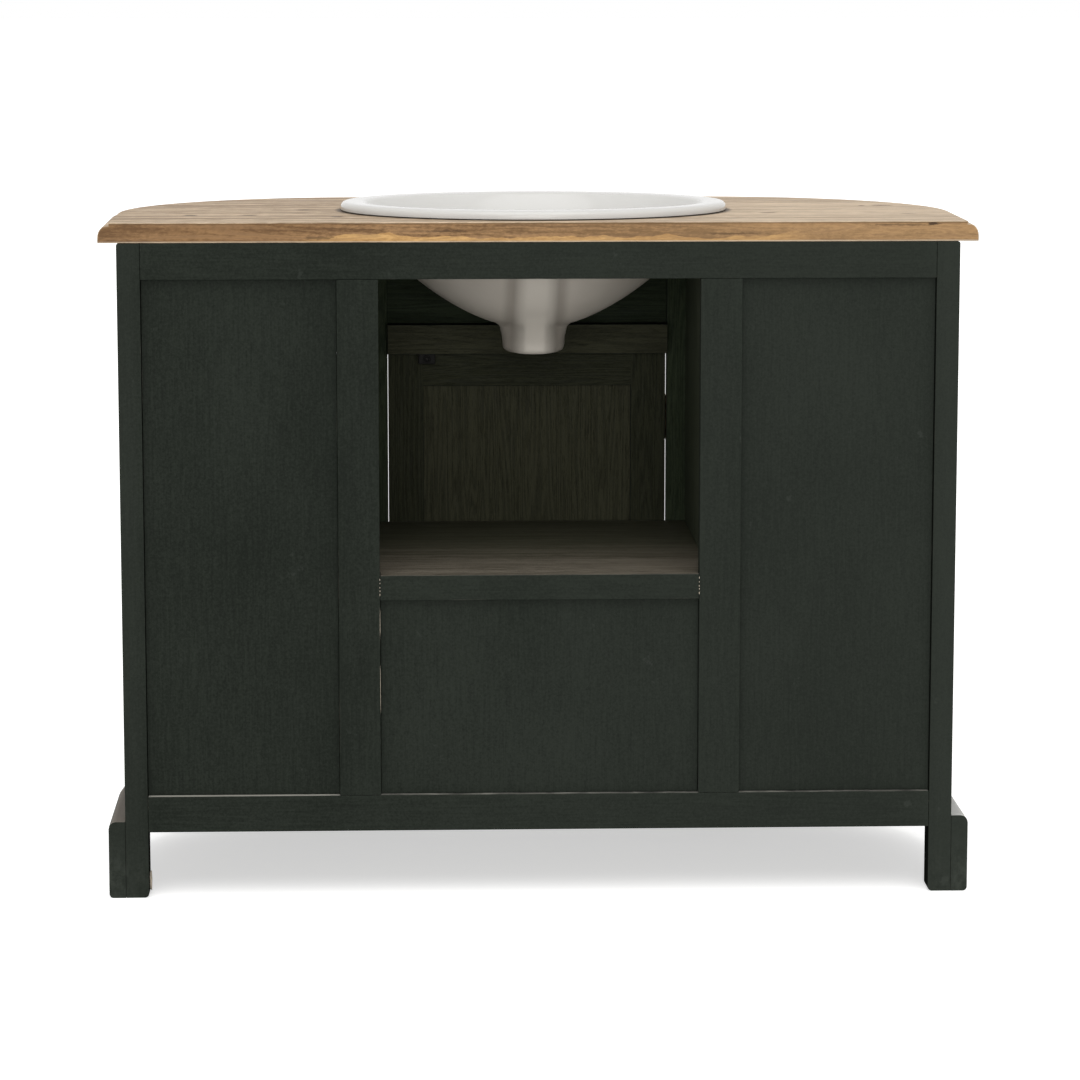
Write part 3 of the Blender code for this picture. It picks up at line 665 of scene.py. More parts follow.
def metal(name, dark, light, rough):
    """Aged metal: tarnish in patches, fine scratches."""
    material, tree = new_material(name)
    tarnish = noise(tree, (95, 95, 95), 6, rough=0.66)
    scratches = noise(tree, (1800, 1800, 160), 3)
    colour = blend(spread(tarnish, 0.35, 0.68), dark, light)
    dulled = spread(tarnish, 0.3, 0.7, rough + 0.18, rough)
    return coat(material, colour, dulled, relief(scratches, 0.00004), metallic=1.0)


def plastic():
    material, tree = new_material("catch_plastic")
    scuffs = noise(tree, (320, 320, 320), 5)
    colour = blend(scuffs, rgb(0.006, 0.006, 0.006), rgb(0.022, 0.021, 0.019))
    rough = spread(scuffs, 0.3, 0.7, 0.55, 0.75)
    return coat(material, colour, rough, relief(scuffs, 0.00008), 0.12)


PAINT = {axis: paint(axis, False) for axis in GRAIN}
WORN = {axis: paint(axis, True) for axis in GRAIN}
SHADE_BLACK = painted_shade_black()
OLIVE = (rgb(0.0215, 0.0220, 0.0115), rgb(0.0540, 0.0540, 0.0310))
SHADE = (rgb(0.0135, 0.0150, 0.0072), rgb(0.0350, 0.0370, 0.0200))
WALNUT = (rgb(0.064, 0.056, 0.040), rgb(0.162, 0.142, 0.112))
GREEN = (rgb(0.0135, 0.0205, 0.0100), rgb(0.0400, 0.0530, 0.0280))
DEEP = (rgb(0.0090, 0.0145, 0.0068), rgb(0.0272, 0.0375, 0.0190))
MOSS = (rgb(0.0580, 0.0605, 0.0410), rgb(0.1620, 0.1650, 0.1220))
STAIN = {axis: stain("inside_wood", axis, *OLIVE) for axis in GRAIN}
FRAME_STAIN = stain("frame_wood", "up", *GREEN)
FASCIA_STAIN = stain("fascia_wood", "across", *DEEP)
# Partitions and shelves take painted shade deep in the cabinet, through far
SIDE_STAIN = stain("partition_wood", "up", *MOSS, far=rgb(0.0580, 0.0790, 0.0490))
SHELF_STAIN = stain("shelf_wood", "across", *WALNUT, streaked=1.5, far=rgb(0.0520, 0.0600, 0.0330))
DARK = {axis: stain("door_wood", axis, *SHADE) for axis in GRAIN}
# Ledges that face up: dust with a painted highlight
LEDGE = {
    "across": ledge_dust_and_highlight("across", rgb(0.36, 0.35, 0.31)),
    "round": ledge_dust_and_highlight("round", rgb(0.100, 0.084, 0.064)),
}
TOP_WOOD = plank_wood("face")
TOP_EDGE = plank_wood("edge")
BARE_AND_LIGHT = bare_wood_and_painted_light()
GLAZE = glaze()
BISCUIT = biscuit()
RUBBER_AND_HOLE_SHADE = rubber_and_hole_shade()
BRASS = metal("brass", rgb(0.12, 0.078, 0.035), rgb(0.46, 0.32, 0.145), 0.30)
NEAR_BLACK_BRASS = metal("near_black_brass", rgb(0.014, 0.011, 0.007), rgb(0.050, 0.039, 0.024), 0.55)
STEEL = metal("steel", rgb(0.22, 0.21, 0.20), rgb(0.52, 0.51, 0.50), 0.28)
PLASTIC = plastic()


# Pieces


def put(name, data):
    """Adds an object to the scene."""
    made = bpy.data.objects.new(name, data)
    bpy.context.scene.collection.objects.link(made)
    return made


def show(name, bm, materials, body, stands_for=()):
    """Turns a closed mesh into a shown piece that rides on a body."""
    bmesh.ops.recalc_face_normals(bm, faces=bm.faces)
    mesh = bpy.data.meshes.new(name)
    bm.to_mesh(mesh)
    bm.free()
    for material in materials:
        mesh.materials.append(material)
    mesh.polygons.foreach_set("use_smooth", [True] * len(mesh.polygons))
    piece = put(name, mesh)
    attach(piece, body)
    if stands_for:
        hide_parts(*stands_for)
    return piece


def band(bm, near, far, kind=0):
    """Faces between two rings of points."""
    for step in range(len(near)):
        after = (step + 1) % len(near)
        face = bm.faces.new((near[step], near[after], far[after], far[step]))
        face.material_index = kind


def soften(bm, width, choose, edge_index, segments=EDGE_STEPS, held_back=True):
    """Rounds the sharp edges that choose() accepts. held_back keeps it within short neighbours."""
    sharp = []
    for edge in bm.edges:
        if len(edge.link_faces) == 2 and edge.calc_face_angle() > EDGE_ANGLE and choose(edge):
            sharp.append(edge)
    if sharp:
        bmesh.ops.bevel(
            bm,
            geom=sharp,
            offset=width,
            offset_type="OFFSET",
            segments=segments,
            profile=0.5,
            affect="EDGES",
            clamp_overlap=held_back,
            material=edge_index,
        )


def every(edge):
    return True


def tuck(bm, grow):
    """Pushes a board's ends a little way into its neighbours, as a tongue does."""
    for axis, amount in enumerate(grow):
        places = [vertex.co[axis] for vertex in bm.verts]
        ends = ((min(places), -amount), (max(places), amount))
        for vertex in bm.verts:
            for end, move in ends:
                if abs(vertex.co[axis] - end) < END_REACH:
                    vertex.co[axis] = end + move


def skin(node, materials, pick, width, rounds=(), grow=(0.0, 0.0, 0.0), upper_edge=None):
    """A copy of a CAD node with softened edges, and with flat faces that stay flat beside them.

    pick gives each face's material, and the last material is for edges. upper_edge is the material
    of the edges that look up, where it differs.
    """
    bm = bmesh.new()
    bm.from_mesh(nodes[node].data)
    bmesh.ops.remove_doubles(bm, verts=bm.verts, dist=WELD)
    bmesh.ops.dissolve_limit(bm, angle_limit=FLAT_ANGLE, verts=bm.verts, edges=bm.edges)
    bmesh.ops.recalc_face_normals(bm, faces=bm.faces)
    tuck(bm, grow)
    for face in bm.faces:
        face.material_index = pick(face)
    last = len(materials) - 1
    for choose, radius in rounds:
        soften(bm, radius, choose, last, segments=ROUND_STEPS, held_back=False)
    soften(bm, width, every, last)
    if rounds:
        bmesh.ops.remove_doubles(bm, verts=bm.verts, dist=SLIVER)
    bmesh.ops.dissolve_degenerate(bm, dist=WELD, edges=bm.edges)
    bm.normal_update()
    for edge in bm.edges:
        if len(edge.link_faces) == 2 and edge.calc_face_angle() > CREASE_ANGLE:
            edge.smooth = False
    if upper_edge is not None:
        for face in bm.faces:
            if face.material_index == last and face.normal.z > LEANING:
                face.material_index = upper_edge
    piece = show(node + "_skin", bm, materials, nodes[node]["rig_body"], (node,))
    shading = piece.modifiers.new("even_shading", "WEIGHTED_NORMAL")
    shading.weight = EVEN_WEIGHT
    shading.keep_sharp = True


def first_only(face):
    return 0


def faces_in_from_back(face):
    """The stained side of the back frame's boards."""
    return 1 if face.normal.y < -FACING else 0


def faces_in(face):
    """The stained side of the boards at the front and sides, which faces the inside of the cabinet."""
    middle = face.calc_center_median()
    if middle.y > ARC_Y:
        inward = Vector((-math.copysign(1.0, middle.x), 0.0, 0.0))
    elif abs(middle.x) < ARC_X:
        inward = Vector((0.0, 1.0, 0.0))
    else:
        inward = Vector((math.copysign(ARC_X, middle.x) - middle.x, ARC_Y - middle.y, 0.0)).normalized()
    return 1 if face.normal.dot(inward) > FACING else 0


def post_side(face):
    """The posts: stained inside, and painted shade in dull black on the side that looks to the cabinet's
    middle.
    """
    if face.normal.x * math.copysign(1.0, face.calc_center_median().x) < -SQUARE_ON:
        return 2
    return faces_in_from_back(face)


def rail_side(face):
    """The back rails: stained inside, with dust and a painted highlight on top."""
    if face.normal.z > SQUARE_ON:
        return 2
    return faces_in_from_back(face)


def ledge_up(face):
    """The skirting's top ledge has dust and a painted highlight."""
    return 1 if face.normal.z > LEDGE_FACING and face.calc_center_median().z > LEDGE_Z else 0


def middle_of(edge):
    return (edge.verts[0].co + edge.verts[1].co) / 2


def front_to_back(edge):
    """True of an edge that runs from front to back."""
    run = edge.verts[0].co - edge.verts[1].co
    return abs(run.y) > SQUARE_ON * run.length


def post_foot(edge):
    """The lower edge on the inner side of a post's foot."""
    middle = middle_of(edge)
    return middle.z < PLANE_REACH and abs(middle.x) < POST_INNER and front_to_back(edge)


def post_head(edge):
    """The upper edge on the outer side of a post's head."""
    middle = middle_of(edge)
    return middle.z > HEAD_Z and abs(middle.x) > POST_OUTER and front_to_back(edge)


def skirting_foot(edge):
    """The lower outer edge of the skirting's feet."""
    middle = middle_of(edge)
    if middle.z > PLANE_REACH:
        return False
    if middle.y > ARC_Y:
        return abs(middle.x) > SKIRT_SIDE and front_to_back(edge)
    if abs(middle.x) < ARC_X:
        return middle.y < SKIRT_FRONT
    return math.hypot(abs(middle.x) - ARC_X, middle.y - ARC_Y) > SKIRT_RADIUS


def board(axis, other):
    """Materials of a painted board: its faces, its other side and its edges."""
    return [PAINT[axis], other, WORN[axis]]


# Back frame and its panels
upright = board("up", STAIN["up"])
crosswise = board("across", STAIN["across"])
bent = board("round", STAIN["round"])
post_rounds = [(post_foot, FOOT_EDGE), (post_head, POST_EDGE)]
# The posts' inner sides take painted shade
posts = [PAINT["up"], STAIN["up"], SHADE_BLACK, WORN["up"]]
for side in SIDES:
    skin(f"back_post_{side}", posts, post_side, FRAME_EDGE, post_rounds)
    skin(f"back_mid_stile_{side}", upright, faces_in_from_back, FRAME_EDGE)
    skin(f"back_panel_{side}", upright, faces_in_from_back, FRAME_EDGE)
skin("back_panel_centre", upright, faces_in_from_back, FRAME_EDGE)
# Tops of the back rails: dust with a painted highlight
rail_dust_and_highlight = [PAINT["across"], STAIN["across"], LEDGE["across"], WORN["across"]]
for rail in ("back_top_rail", "back_bottom_rail"):
    skin(rail, rail_dust_and_highlight, rail_side, LEDGE_EDGE)
worn_top = [PAINT["across"], STAIN["across"], SHELF_STAIN, LEDGE["round"], WORN["across"]]
skin("back_cross_rail", worn_top, rail_side, LEDGE_EDGE, upper_edge=3)

# Boards of the inside
for side in SIDES:
    skin(f"partition_{side}", [SIDE_STAIN], first_only, BOARD_EDGE)
    skin(f"side_board_{side}", upright, faces_in, BOARD_EDGE)
for shelf in ("bottom_board", "centre_shelf"):
    skin(shelf, [SHELF_STAIN], first_only, BOARD_EDGE)

# Front frame and skirting
bent_paint = board("round", LEDGE["round"])
cross_paint = board("across", LEDGE["round"])
feet = [(skirting_foot, FOOT_EDGE)]
inner_stile = board("up", FRAME_STAIN)
for side in SIDES:
    skin(f"front_stile_inner_{side}", inner_stile, faces_in, FRAME_EDGE, grow=(SNUG, 0.0, 0.0))
    skin(f"front_stile_outer_{side}", upright, faces_in, BOARD_EDGE)
    skin(f"fascia_{side}", bent, first_only, BOARD_EDGE)
    skin(f"bottom_rail_{side}", bent, faces_in, BOARD_EDGE)
    skin(f"skirting_{side}", bent_paint, ledge_up, FRAME_EDGE, feet)
skin("front_rail_centre", crosswise, faces_in, FRAME_EDGE, grow=(0.0, 0.0, LATCH_SNUG))
fascia = board("across", FASCIA_STAIN)
skin("fascia_centre", fascia, faces_in, FRAME_EDGE, grow=(PANEL_TUCK, -HAIR, LATCH_SNUG))
skin("bottom_rail_centre", crosswise, faces_in, BOARD_EDGE, grow=(PANEL_TUCK, -HAIR, 0.0))
skin("skirting_front", cross_paint, ledge_up, FRAME_EDGE, feet)

# Doors
door_upright = board("up", DARK["up"])
door_cross = board("across", DARK["across"])
for stile, snug in (("hinge", SNUG), ("latch", LATCH_SNUG)):
    node = f"centre_door_{stile}_stile"
    skin(node, door_upright, faces_in, FRAME_EDGE, grow=(snug, 0.0, LATCH_SNUG))
for rail in ("centre_door_top_rail", "centre_door_bottom_rail"):
    skin(rail, door_cross, faces_in, FRAME_EDGE, grow=(PANEL_TUCK, -HAIR, LATCH_SNUG))
skin("centre_door_panel", upright, faces_in, FRAME_EDGE, grow=(PANEL_TUCK, -HAIR, PANEL_TUCK))
for side in SIDES:
    skin(f"{side}_door_frame", door_upright, faces_in, BOARD_EDGE)
    skin(f"{side}_door_panel", upright, faces_in, FRAME_EDGE)

# Hinges and catch
for door in DOORS:
    for level in LEVELS:
        for leaf in ("fixed", "door"):
            node = f"{door}_{level}_hinge_{leaf}_leaf"
            # Hinge leaves are brass outside, and nearly black on the faces toward the inside and on the edges
            skin(node, [BRASS, NEAR_BLACK_BRASS, NEAR_BLACK_BRASS], faces_in, METAL_EDGE)
skin("catch_body", [PLASTIC], first_only, CATCH_EDGE)
skin("catch_strike", [STEEL], first_only, METAL_EDGE)
skin("basin_seal", [RUBBER_AND_HOLE_SHADE], first_only, SEAL_EDGE)


def stop_strip(name, from_x, to_x):
    """A thin strip under the rail, just behind the door's upper edge, that keeps light from above it."""
    rail_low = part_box("front_rail_centre")[0]
    door_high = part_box("centre_door_top_rail")[1]
    near = door_high.y + STOP_CLEAR
    size = Matrix.Diagonal((to_x - from_x, STOP_THICK, STOP_DROP + BOARD_EDGE, 1.0))
    middle = ((from_x + to_x) / 2, near + STOP_THICK / 2, rail_low.z + (BOARD_EDGE - STOP_DROP) / 2)
    bm = bmesh.new()
    bmesh.ops.create_cube(bm, size=1.0, matrix=Matrix.Translation(middle) @ size)
    show(name, bm, [FASCIA_STAIN], "cabinet")


catch_low, catch_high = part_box("catch_body")
rail_low, rail_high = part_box("front_rail_centre")
stop_strip("stop_strip_left", rail_low.x, catch_low.x + BOARD_EDGE)
stop_strip("stop_strip_right", catch_high.x - BOARD_EDGE, rail_high.x)


def top_face_kind(face):
    """The sawn back edge takes its own wood."""
    return 1 if face.normal.y > FACING and face.calc_center_median().y > BACK_Y - PLANE_REACH else 0


skin("worktop", [TOP_WOOD, TOP_EDGE, TOP_WOOD], top_face_kind, BOARD_EDGE)


# Basin, lofted ring by ring


def basin_angles():
    """Angles round the basin, closer together where the overflow channel runs down its back."""
    angles = []
    for step in range(BASIN_SIDES):
        turn = 2 * math.pi * step / BASIN_SIDES
        crowd = CHANNEL_CROWD * math.sin(2 * (turn - math.pi / 2))
        angles.append(turn - crowd * (0.5 + 0.5 * math.sin(turn)))
    return angles


ANGLES = basin_angles()


def channel_rise(sideways, proud):
    """How far the overflow channel stands out at a distance from the middle line."""
    if proud <= 0:
        return 0.0
    share = abs(sideways) / (CHANNEL_HALF + CHANNEL_BLEND)
    if share >= 1:
        return 0.0
    eased = min(1.0, (1 - share) / CHANNEL_EASE)
    return proud * eased * eased * (3 - 2 * eased)


def channel_proud(half_y, z):
    """How far the channel stands out at a height. Low down, it runs straight from the bowl to the boss."""
    if not DUCT_LOW < z < DUCT_HIGH:
        return CHANNEL_PROUD
    share = (z - DUCT_LOW) / (DUCT_HIGH - DUCT_LOW)
    duct = DUCT_NEAR + (DUCT_FAR - DUCT_NEAR) * share**DUCT_POWER
    return max(CHANNEL_PROUD, duct - half_y)


def ring(bm, half_x, half_y, z, proud=0.0):
    """One closed ring of points, pushed out at the back where the channel is."""
    points = []
    for angle in ANGLES:
        x = half_x * math.cos(angle)
        y = half_y * math.sin(angle)
        if y > 0:
            y += channel_rise(x, proud)
        points.append(bm.verts.new((x, BASIN_Y + y, z)))
    return points


def bowl_profile(wall, end_radius):
    """Half sizes and height of each level of the bowl, from its mouth to its bottom."""
    levels = []
    for step in range(BOWL_STEPS + 1):
        share = 1 - step / BOWL_STEPS
        half_x = end_radius + (BOWL_X - wall - end_radius) * share
        half_y = end_radius + (BOWL_Y - wall - end_radius) * share
        low_part = BOWL_LOW_SHARE * share**BOWL_LOW_POWER
        high_part = (1 - BOWL_LOW_SHARE) * share**BOWL_HIGH_POWER
        drop = (BOWL_DEPTH - wall) * (1 - low_part - high_part)
        levels.append((half_x, half_y, TOP_FACE - drop))
    return levels


def rim_curve(inset, rise, start, end, radius):
    """A quarter round on the rim's section: inset from the rim's outline, and height."""
    steps = []
    for step in range(RIM_STEPS + 1):
        angle = start + (end - start) * step / RIM_STEPS
        steps.append((inset + radius * math.cos(angle), rise + radius * math.sin(angle)))
    return steps


def basin_piece():
    """The basin. A ring's kind is 0 where it is glazed, and 1 on the bare underside."""
    bm = bmesh.new()
    rings = []
    kinds = []

    def add_ring(kind, *sizes):
        rings.append(ring(bm, *sizes))
        kinds.append(kind)

    # Outlet, foot of the boss and its rounded edge
    boss_high = TOP_FACE - BOWL_DEPTH
    add_ring(1, OUTLET_RADIUS, OUTLET_RADIUS, BOSS_LOW + OUTLET_EDGE)
    add_ring(1, OUTLET_RADIUS + OUTLET_EDGE, OUTLET_RADIUS + OUTLET_EDGE, BOSS_LOW)
    foot = BOSS_LOW + BOSS_ROUND
    for inset, rise in rim_curve(BOSS_RADIUS - BOSS_ROUND, foot, -math.pi / 2, 0.0, BOSS_ROUND):
        add_ring(1, inset, inset, rise, CHANNEL_PROUD)
    for step in range(1, BOSS_STEPS + 1):
        share = step / BOSS_STEPS
        radius = BOSS_RADIUS + BOSS_FLARE * share**2
        height = foot + (boss_high - FILLET_DROP - foot) * share
        add_ring(1, radius, radius, height, channel_proud(radius, height))

    # Fillet from the boss to the bowl, then the outside of the bowl up to the rim
    neck = BOSS_RADIUS + BOSS_FLARE
    fillet_end = neck + (BOWL_X - neck) * FILLET_SHARE
    outside = [level for level in bowl_profile(0.0, neck) if level[0] > fillet_end]
    end_x, end_y, end_z = outside[-1]
    for step in range(1, FILLET_STEPS):
        share = step / FILLET_STEPS
        out = share * share
        lift = (1 - share) ** 2
        half_x = neck + (end_x - neck) * out
        half_y = neck + (end_y - neck) * out
        height = (boss_high - FILLET_DROP) * lift + boss_high * 2 * share * (1 - share) + end_z * out
        add_ring(1, half_x, half_y, height, channel_proud(half_y, height))
    for half_x, half_y, z in reversed(outside):
        proud = channel_proud(half_y, z) if z < TOP_UNDER - CHANNEL_STOP else 0.0
        add_ring(1, half_x, half_y, z, proud)
    add_ring(1, BOWL_X, BOWL_Y, RIM_UNDER)

    # Rolled rim and the step down to the bowl
    section = list(RIM_LOWER)
    section += rim_curve(LIP_ROUND, LIP_UNDER + LIP_ROUND, -math.pi / 2, -math.pi, LIP_ROUND)
    section += rim_curve(RIM_ROUND, RIM_TOP - RIM_ROUND, math.pi, math.pi / 2, RIM_ROUND)
    section += [(inset, RIM_TOP - drop) for inset, drop in RIM_UPPER]
    for inset, rise in section:
        add_ring(0, RIM_X - inset, RIM_Y - inset, rise)
    for half_x, half_y, z in bowl_profile(BOWL_WALL, OUTLET_RADIUS):
        add_ring(0, half_x, half_y, z)
    add_ring(0, OUTLET_RADIUS, OUTLET_RADIUS, boss_high + BOWL_WALL - OUTLET_DROP)

    for number, lower in enumerate(rings):
        after = (number + 1) % len(rings)
        band(bm, lower, rings[after], kinds[after])
    show("basin_glazed", bm, [GLAZE, BISCUIT], "cabinet", ("basin",))


basin_piece()


def overflow_grate():
    """A small metal-lined overflow hole high on the back of the bowl's inside, closed by a dark disc that
    paints the shade inside the hole.
    """
    bm = bmesh.new()
    outer = []
    inner = []
    for step in range(HOLE_SIDES):
        angle = 2 * math.pi * step / HOLE_SIDES
        for points, radius in ((outer, HOLE_RING), (inner, HOLE_RADIUS)):
            z = HOLE_Z + radius * math.sin(angle)
            lean = HOLE_LEAN * (HOLE_Z - z)
            points.append(bm.verts.new((radius * math.cos(angle), BASIN_Y + HOLE_Y - lean - HOLE_SINK, z)))
    band(bm, outer, inner)
    # Painted shade: a dark disc fills the hole
    hole = bm.faces.new(inner)
    hole.material_index = 1
    bmesh.ops.recalc_face_normals(bm, faces=bm.faces)
    bmesh.ops.solidify(bm, geom=bm.faces[:], thickness=HOLE_THICK)
    show("overflow_ring", bm, [STEEL, RUBBER_AND_HOLE_SHADE], "cabinet")


overflow_grate()


# Turned pieces: knobs, screw heads and the catch's collar


def turned(bm, base, outward, profile, sides):
    """A round piece on an axis. profile gives (distance from base, radius); a radius of 0 closes it."""
    sideways = outward.orthogonal().normalized()
    up = outward.cross(sideways)
    rings = []
    for distance, radius in profile:
        middle = base + outward * distance
        if radius <= 0:
            rings.append([bm.verts.new(middle)])
            continue
        points = []
        for step in range(sides):
            angle = 2 * math.pi * step / sides
            points.append(bm.verts.new(middle + (sideways * math.cos(angle) + up * math.sin(angle)) * radius))
        rings.append(points)
    for near, far in zip(rings, rings[1:]):
        if len(far) > 1:
            band(bm, near, far)
            continue
        for step in range(sides):
            bm.faces.new((near[step], near[(step + 1) % sides], far[0]))
    bm.faces.new(list(reversed(rings[0])))


def outward_at(door, spot):
    """The direction out of a door's face: straight ahead in the middle, away from the bend's axis aside."""
    if door == "centre":
        return Vector((0.0, -1.0, 0.0))
    axis = Vector((math.copysign(ARC_X, spot.x), ARC_Y, spot.z))
    return (spot - axis).normalized()


def mean(points):
    return sum(points, Vector()) / len(points)


def knob_piece(door):
    """A turned knob in the place of its CAD node, which gives its foot and its direction."""
    node = f"{door}_knob"
    low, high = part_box(node)
    centre = (low + high) / 2
    outward = outward_at(door, centre)
    reach = [vertex.co.dot(outward) for vertex in nodes[node].data.vertices]
    length = max(reach) - min(reach)
    base = centre + outward * (min(reach) - centre.dot(outward))
    bm = bmesh.new()
    turned(bm, base, outward, [(length * share, radius) for share, radius in KNOB_PROFILE], KNOB_SIDES)
    show(f"{door}_knob_turned", bm, [BRASS], nodes[node]["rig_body"], (node,))


def screw_head(bm, base, outward, along, head):
    """A flush screw head with a slot across it: a thin dark bar in the second material, painted shade in
    place of a cut slot.
    """
    turned(bm, base, outward, [(rise, radius * head) for rise, radius in SCREW_PROFILE], SCREW_SIDES)
    across = outward.cross(along)
    turn = Matrix((along, across, outward)).transposed().to_4x4()
    size = Matrix.Diagonal((head * SLOT_LONG, head * SLOT_WIDE, SLOT_THICK, 1.0))
    spot = Matrix.Translation(base + outward * SLOT_RISE)
    cut = bmesh.ops.create_cube(bm, size=1.0, matrix=spot @ turn @ size)
    for vertex in cut["verts"]:
        for face in vertex.link_faces:
            face.material_index = 1


def leaf_screws(door, level, leaf, other_leaf):
    """Two screws on the open face of a hinge leaf, the face that looks at the other leaf."""
    node = nodes[f"{door}_{level}_hinge_{leaf}_leaf"]
    other = nodes[f"{door}_{level}_hinge_{other_leaf}_leaf"]
    points = [vertex.co for vertex in node.data.vertices]
    centre = mean(points)
    other_centre = mean([vertex.co for vertex in other.data.vertices])
    outward = outward_at(door, (centre + other_centre) / 2)
    facing = UP.cross(outward)
    if facing.dot(other_centre - centre) < 0:
        facing = -facing
    deep = min(point.dot(outward) for point in points)
    face_at = max(point.dot(facing) for point in points if point.dot(outward) < deep + LEAF_REACH)
    heights = [point.z for point in points]
    middle = (min(heights) + max(heights)) / 2
    bm = bmesh.new()
    for step in (-SCREW_STEP, SCREW_STEP):
        base = outward * (deep + SCREW_INSET) + facing * face_at + UP * (middle + step)
        screw_head(bm, base, facing, UP, SCREW_HEAD)
    show(f"{node.name}_screws", bm, [BRASS, RUBBER_AND_HOLE_SHADE], node["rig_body"])


def catch_collar():
    """The raised collar on the catch's back, with its screw."""
    low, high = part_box("catch_body")
    base = Vector(((low.x + high.x) / 2, high.y, (low.z + high.z) / 2))
    out = Vector((0.0, 1.0, 0.0))
    bm = bmesh.new()
    turned(bm, base, out, COLLAR_PROFILE, COLLAR_SIDES)
    screw_head(bm, base + out * COLLAR_RISE, out, Vector(COLLAR_SLOT), COLLAR_SCREW)
    show("catch_collar", bm, [PLASTIC, RUBBER_AND_HOLE_SHADE], "cabinet")


for door in DOORS:
    knob_piece(door)
    for level in LEVELS:
        leaf_screws(door, level, "fixed", "door")
        leaf_screws(door, level, "door", "fixed")
catch_collar()


# Small pale marks: bare wood where paint has chipped, and painted light at the middle rail's joints and along
# a middle stile


def chip_and_light_flake(name, centre, size, seed):
    """A flake-shaped patch of pale bare wood, nearly flush with the board. It is used for paint chips and for
    marks of painted light.
    """
    shape = random.Random(seed)
    bm = bmesh.new()
    half = Vector(size) / 2
    thin = min(range(3), key=lambda axis: size[axis])
    wide = [axis for axis in range(3) if axis != thin]
    rings = ([], [])
    for step in range(FLAKE_SIDES):
        angle = 2 * math.pi * step / FLAKE_SIDES
        reach = FLAKE_LEAST + (1 - FLAKE_LEAST) * shape.random()
        for level, rise, share in zip(rings, (-1.0, 1.0), (1.0, FLAKE_TOP)):
            point = Vector(centre)
            point[wide[0]] += half[wide[0]] * math.cos(angle) * reach * share
            point[wide[1]] += half[wide[1]] * math.sin(angle) * reach * share
            point[thin] += half[thin] * rise
            level.append(bm.verts.new(point))
    band(bm, *rings)
    bm.faces.new(rings[1])
    bm.faces.new(list(reversed(rings[0])))
    show(name, bm, [BARE_AND_LIGHT], "cabinet")


def stray(least, more):
    """A random size between the least and that much more."""
    return least + more * random.random()


chip_and_light_flake("foot_bare_strip", *FOOT_CHIP, FOOT_SEED)
# Painted light: pale flakes where light shows through the joints of the middle rail
for side, joint in (("right", JOINT_X), ("left", -JOINT_X)):
    for number in range(JOINT_LIGHT_LEAKS):
        height = stray(JOINT_Z + JOINT_STEP * number, JOINT_STRAY)
        size = (stray(*JOINT_WIDE), FLAKE_THICK, stray(*JOINT_TALL))
        chip_and_light_flake(f"joint_chip_{side}_{number}", (joint, JOINT_Y, height), size, JOINT_SEED + number)
# Bare-wood chips along a middle stile's edge, which also paint the highlight on that edge
for number, (height, length) in enumerate(STILE_CHIPS_AND_HIGHLIGHT):
    size = (STILE_CHIP_AND_HIGHLIGHT_WIDE, FLAKE_THICK, length)
    chip_and_light_flake(f"stile_chip_{number}", (STILE_X, STILE_Y, height), size, STILE_SEED + number)


# Light, floor and camera


def hang_panel(name, energy, spread_degrees, direction):
    """A soft, far light that shines along a direction."""
    lamp = bpy.data.lights.new(name, "SUN")
    lamp.energy = energy
    lamp.angle = math.radians(spread_degrees)
    panel = put(name, lamp)
    panel.rotation_mode = "QUATERNION"
    panel.rotation_quaternion = Vector(direction).to_track_quat("-Z", "Y")
    return panel


def sees_backdrop(tree):
    """1 for the rays that show the plain white backdrop: from the camera, and through gloss or glass."""
    ray = make(tree, "LightPath").outputs
    mirrored = maths("MAXIMUM", ray["Is Glossy Ray"], ray["Is Transmission Ray"])
    return maths("MAXIMUM", ray["Is Camera Ray"], mirrored)


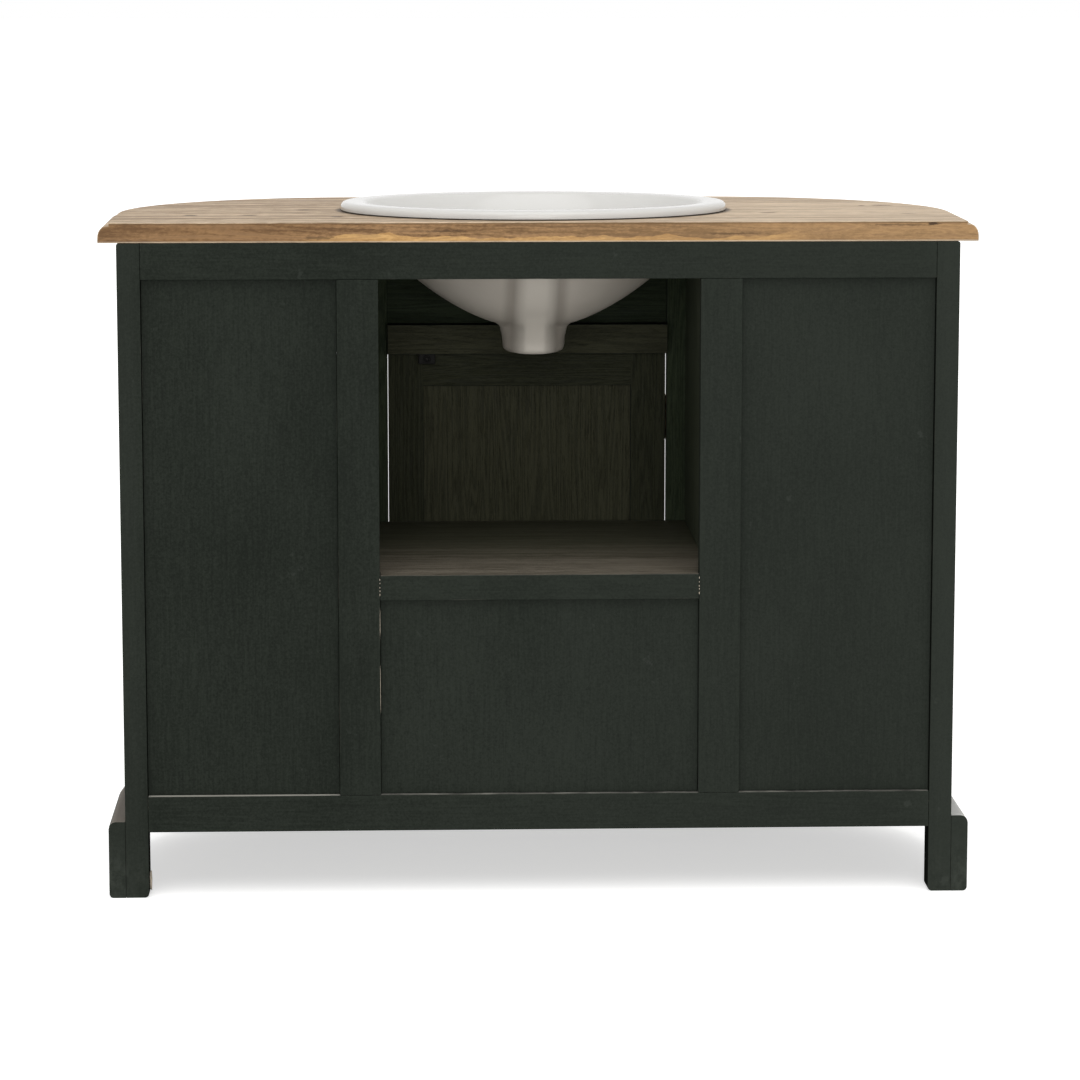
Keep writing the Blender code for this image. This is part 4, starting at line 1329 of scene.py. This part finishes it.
def light_up():
    """The world and three lamps. The camera sees the world as plain white."""
    world = bpy.data.worlds.new("studio")
    bpy.context.scene.world = world
    world.use_nodes = True
    tree = world.node_tree
    lit = tree.nodes["Background"]
    fill(lit, {"Color": rgb(1.0, 0.99, 0.97), "Strength": WORLD_LIGHT})
    seen = make(tree, "Background", rgb(1.0, 1.0, 1.0), 1.0)
    mixer = make(tree, "MixShader", sees_backdrop(tree), lit.outputs[0], seen.outputs[0])
    plug(tree.nodes["World Output"].inputs[0], mixer.outputs[0])

    hang_panel("sky_panel", *SKY_PANEL)
    hang_panel("front_panel", *FRONT_PANEL)
    far_panel = hang_panel("far_panel", *FAR_PANEL)
    far_panel.visible_glossy = False


def lay_floor():
    """A pale floor. The camera sees part of it as plain white, so the shadow on it stays light."""
    material, tree = new_material("floor")
    shader = tree.nodes["Principled BSDF"]
    faint = noise(tree, (1.2, 1.2, 1.2), 3)
    colour = blend(faint, rgb(0.80, 0.80, 0.795), rgb(0.82, 0.82, 0.815))
    glow = times(sees_backdrop(tree), FLOOR_GLOW)
    fill(shader, {"Base Color": colour, "Roughness": 0.9, "Specular IOR Level": 0.0})
    fill(shader, {"Emission Color": rgb(1.0, 1.0, 1.0), "Emission Strength": glow})
    corners = [(x * FLOOR_HALF, y * FLOOR_HALF, 0.0) for x, y in ((-1, -1), (1, -1), (1, 1), (-1, 1))]
    mesh = bpy.data.meshes.new("floor")
    mesh.from_pydata(corners, [], [(0, 1, 2, 3)])
    mesh.materials.append(material)
    floor = put("floor", mesh)


def set_camera():
    """A camera turned down and aside to the object, with no shift."""
    lens = bpy.data.cameras.new("camera")
    lens.sensor_width = SENSOR
    lens.lens = CAMERA_FOCUS / FRAME_SIZE * SENSOR
    camera = put("camera", lens)
    level = math.cos(CAMERA_PITCH)
    look = Vector((math.sin(CAMERA_YAW) * level, -math.cos(CAMERA_YAW) * level, -math.sin(CAMERA_PITCH)))
    camera.location = CAMERA_PLACE
    camera.rotation_euler = look.to_track_quat("-Z", "Y").to_euler()
    bpy.context.scene.camera = camera


light_up()
lay_floor()
set_camera()
bpy.context.scene.view_settings.view_transform = "Standard"
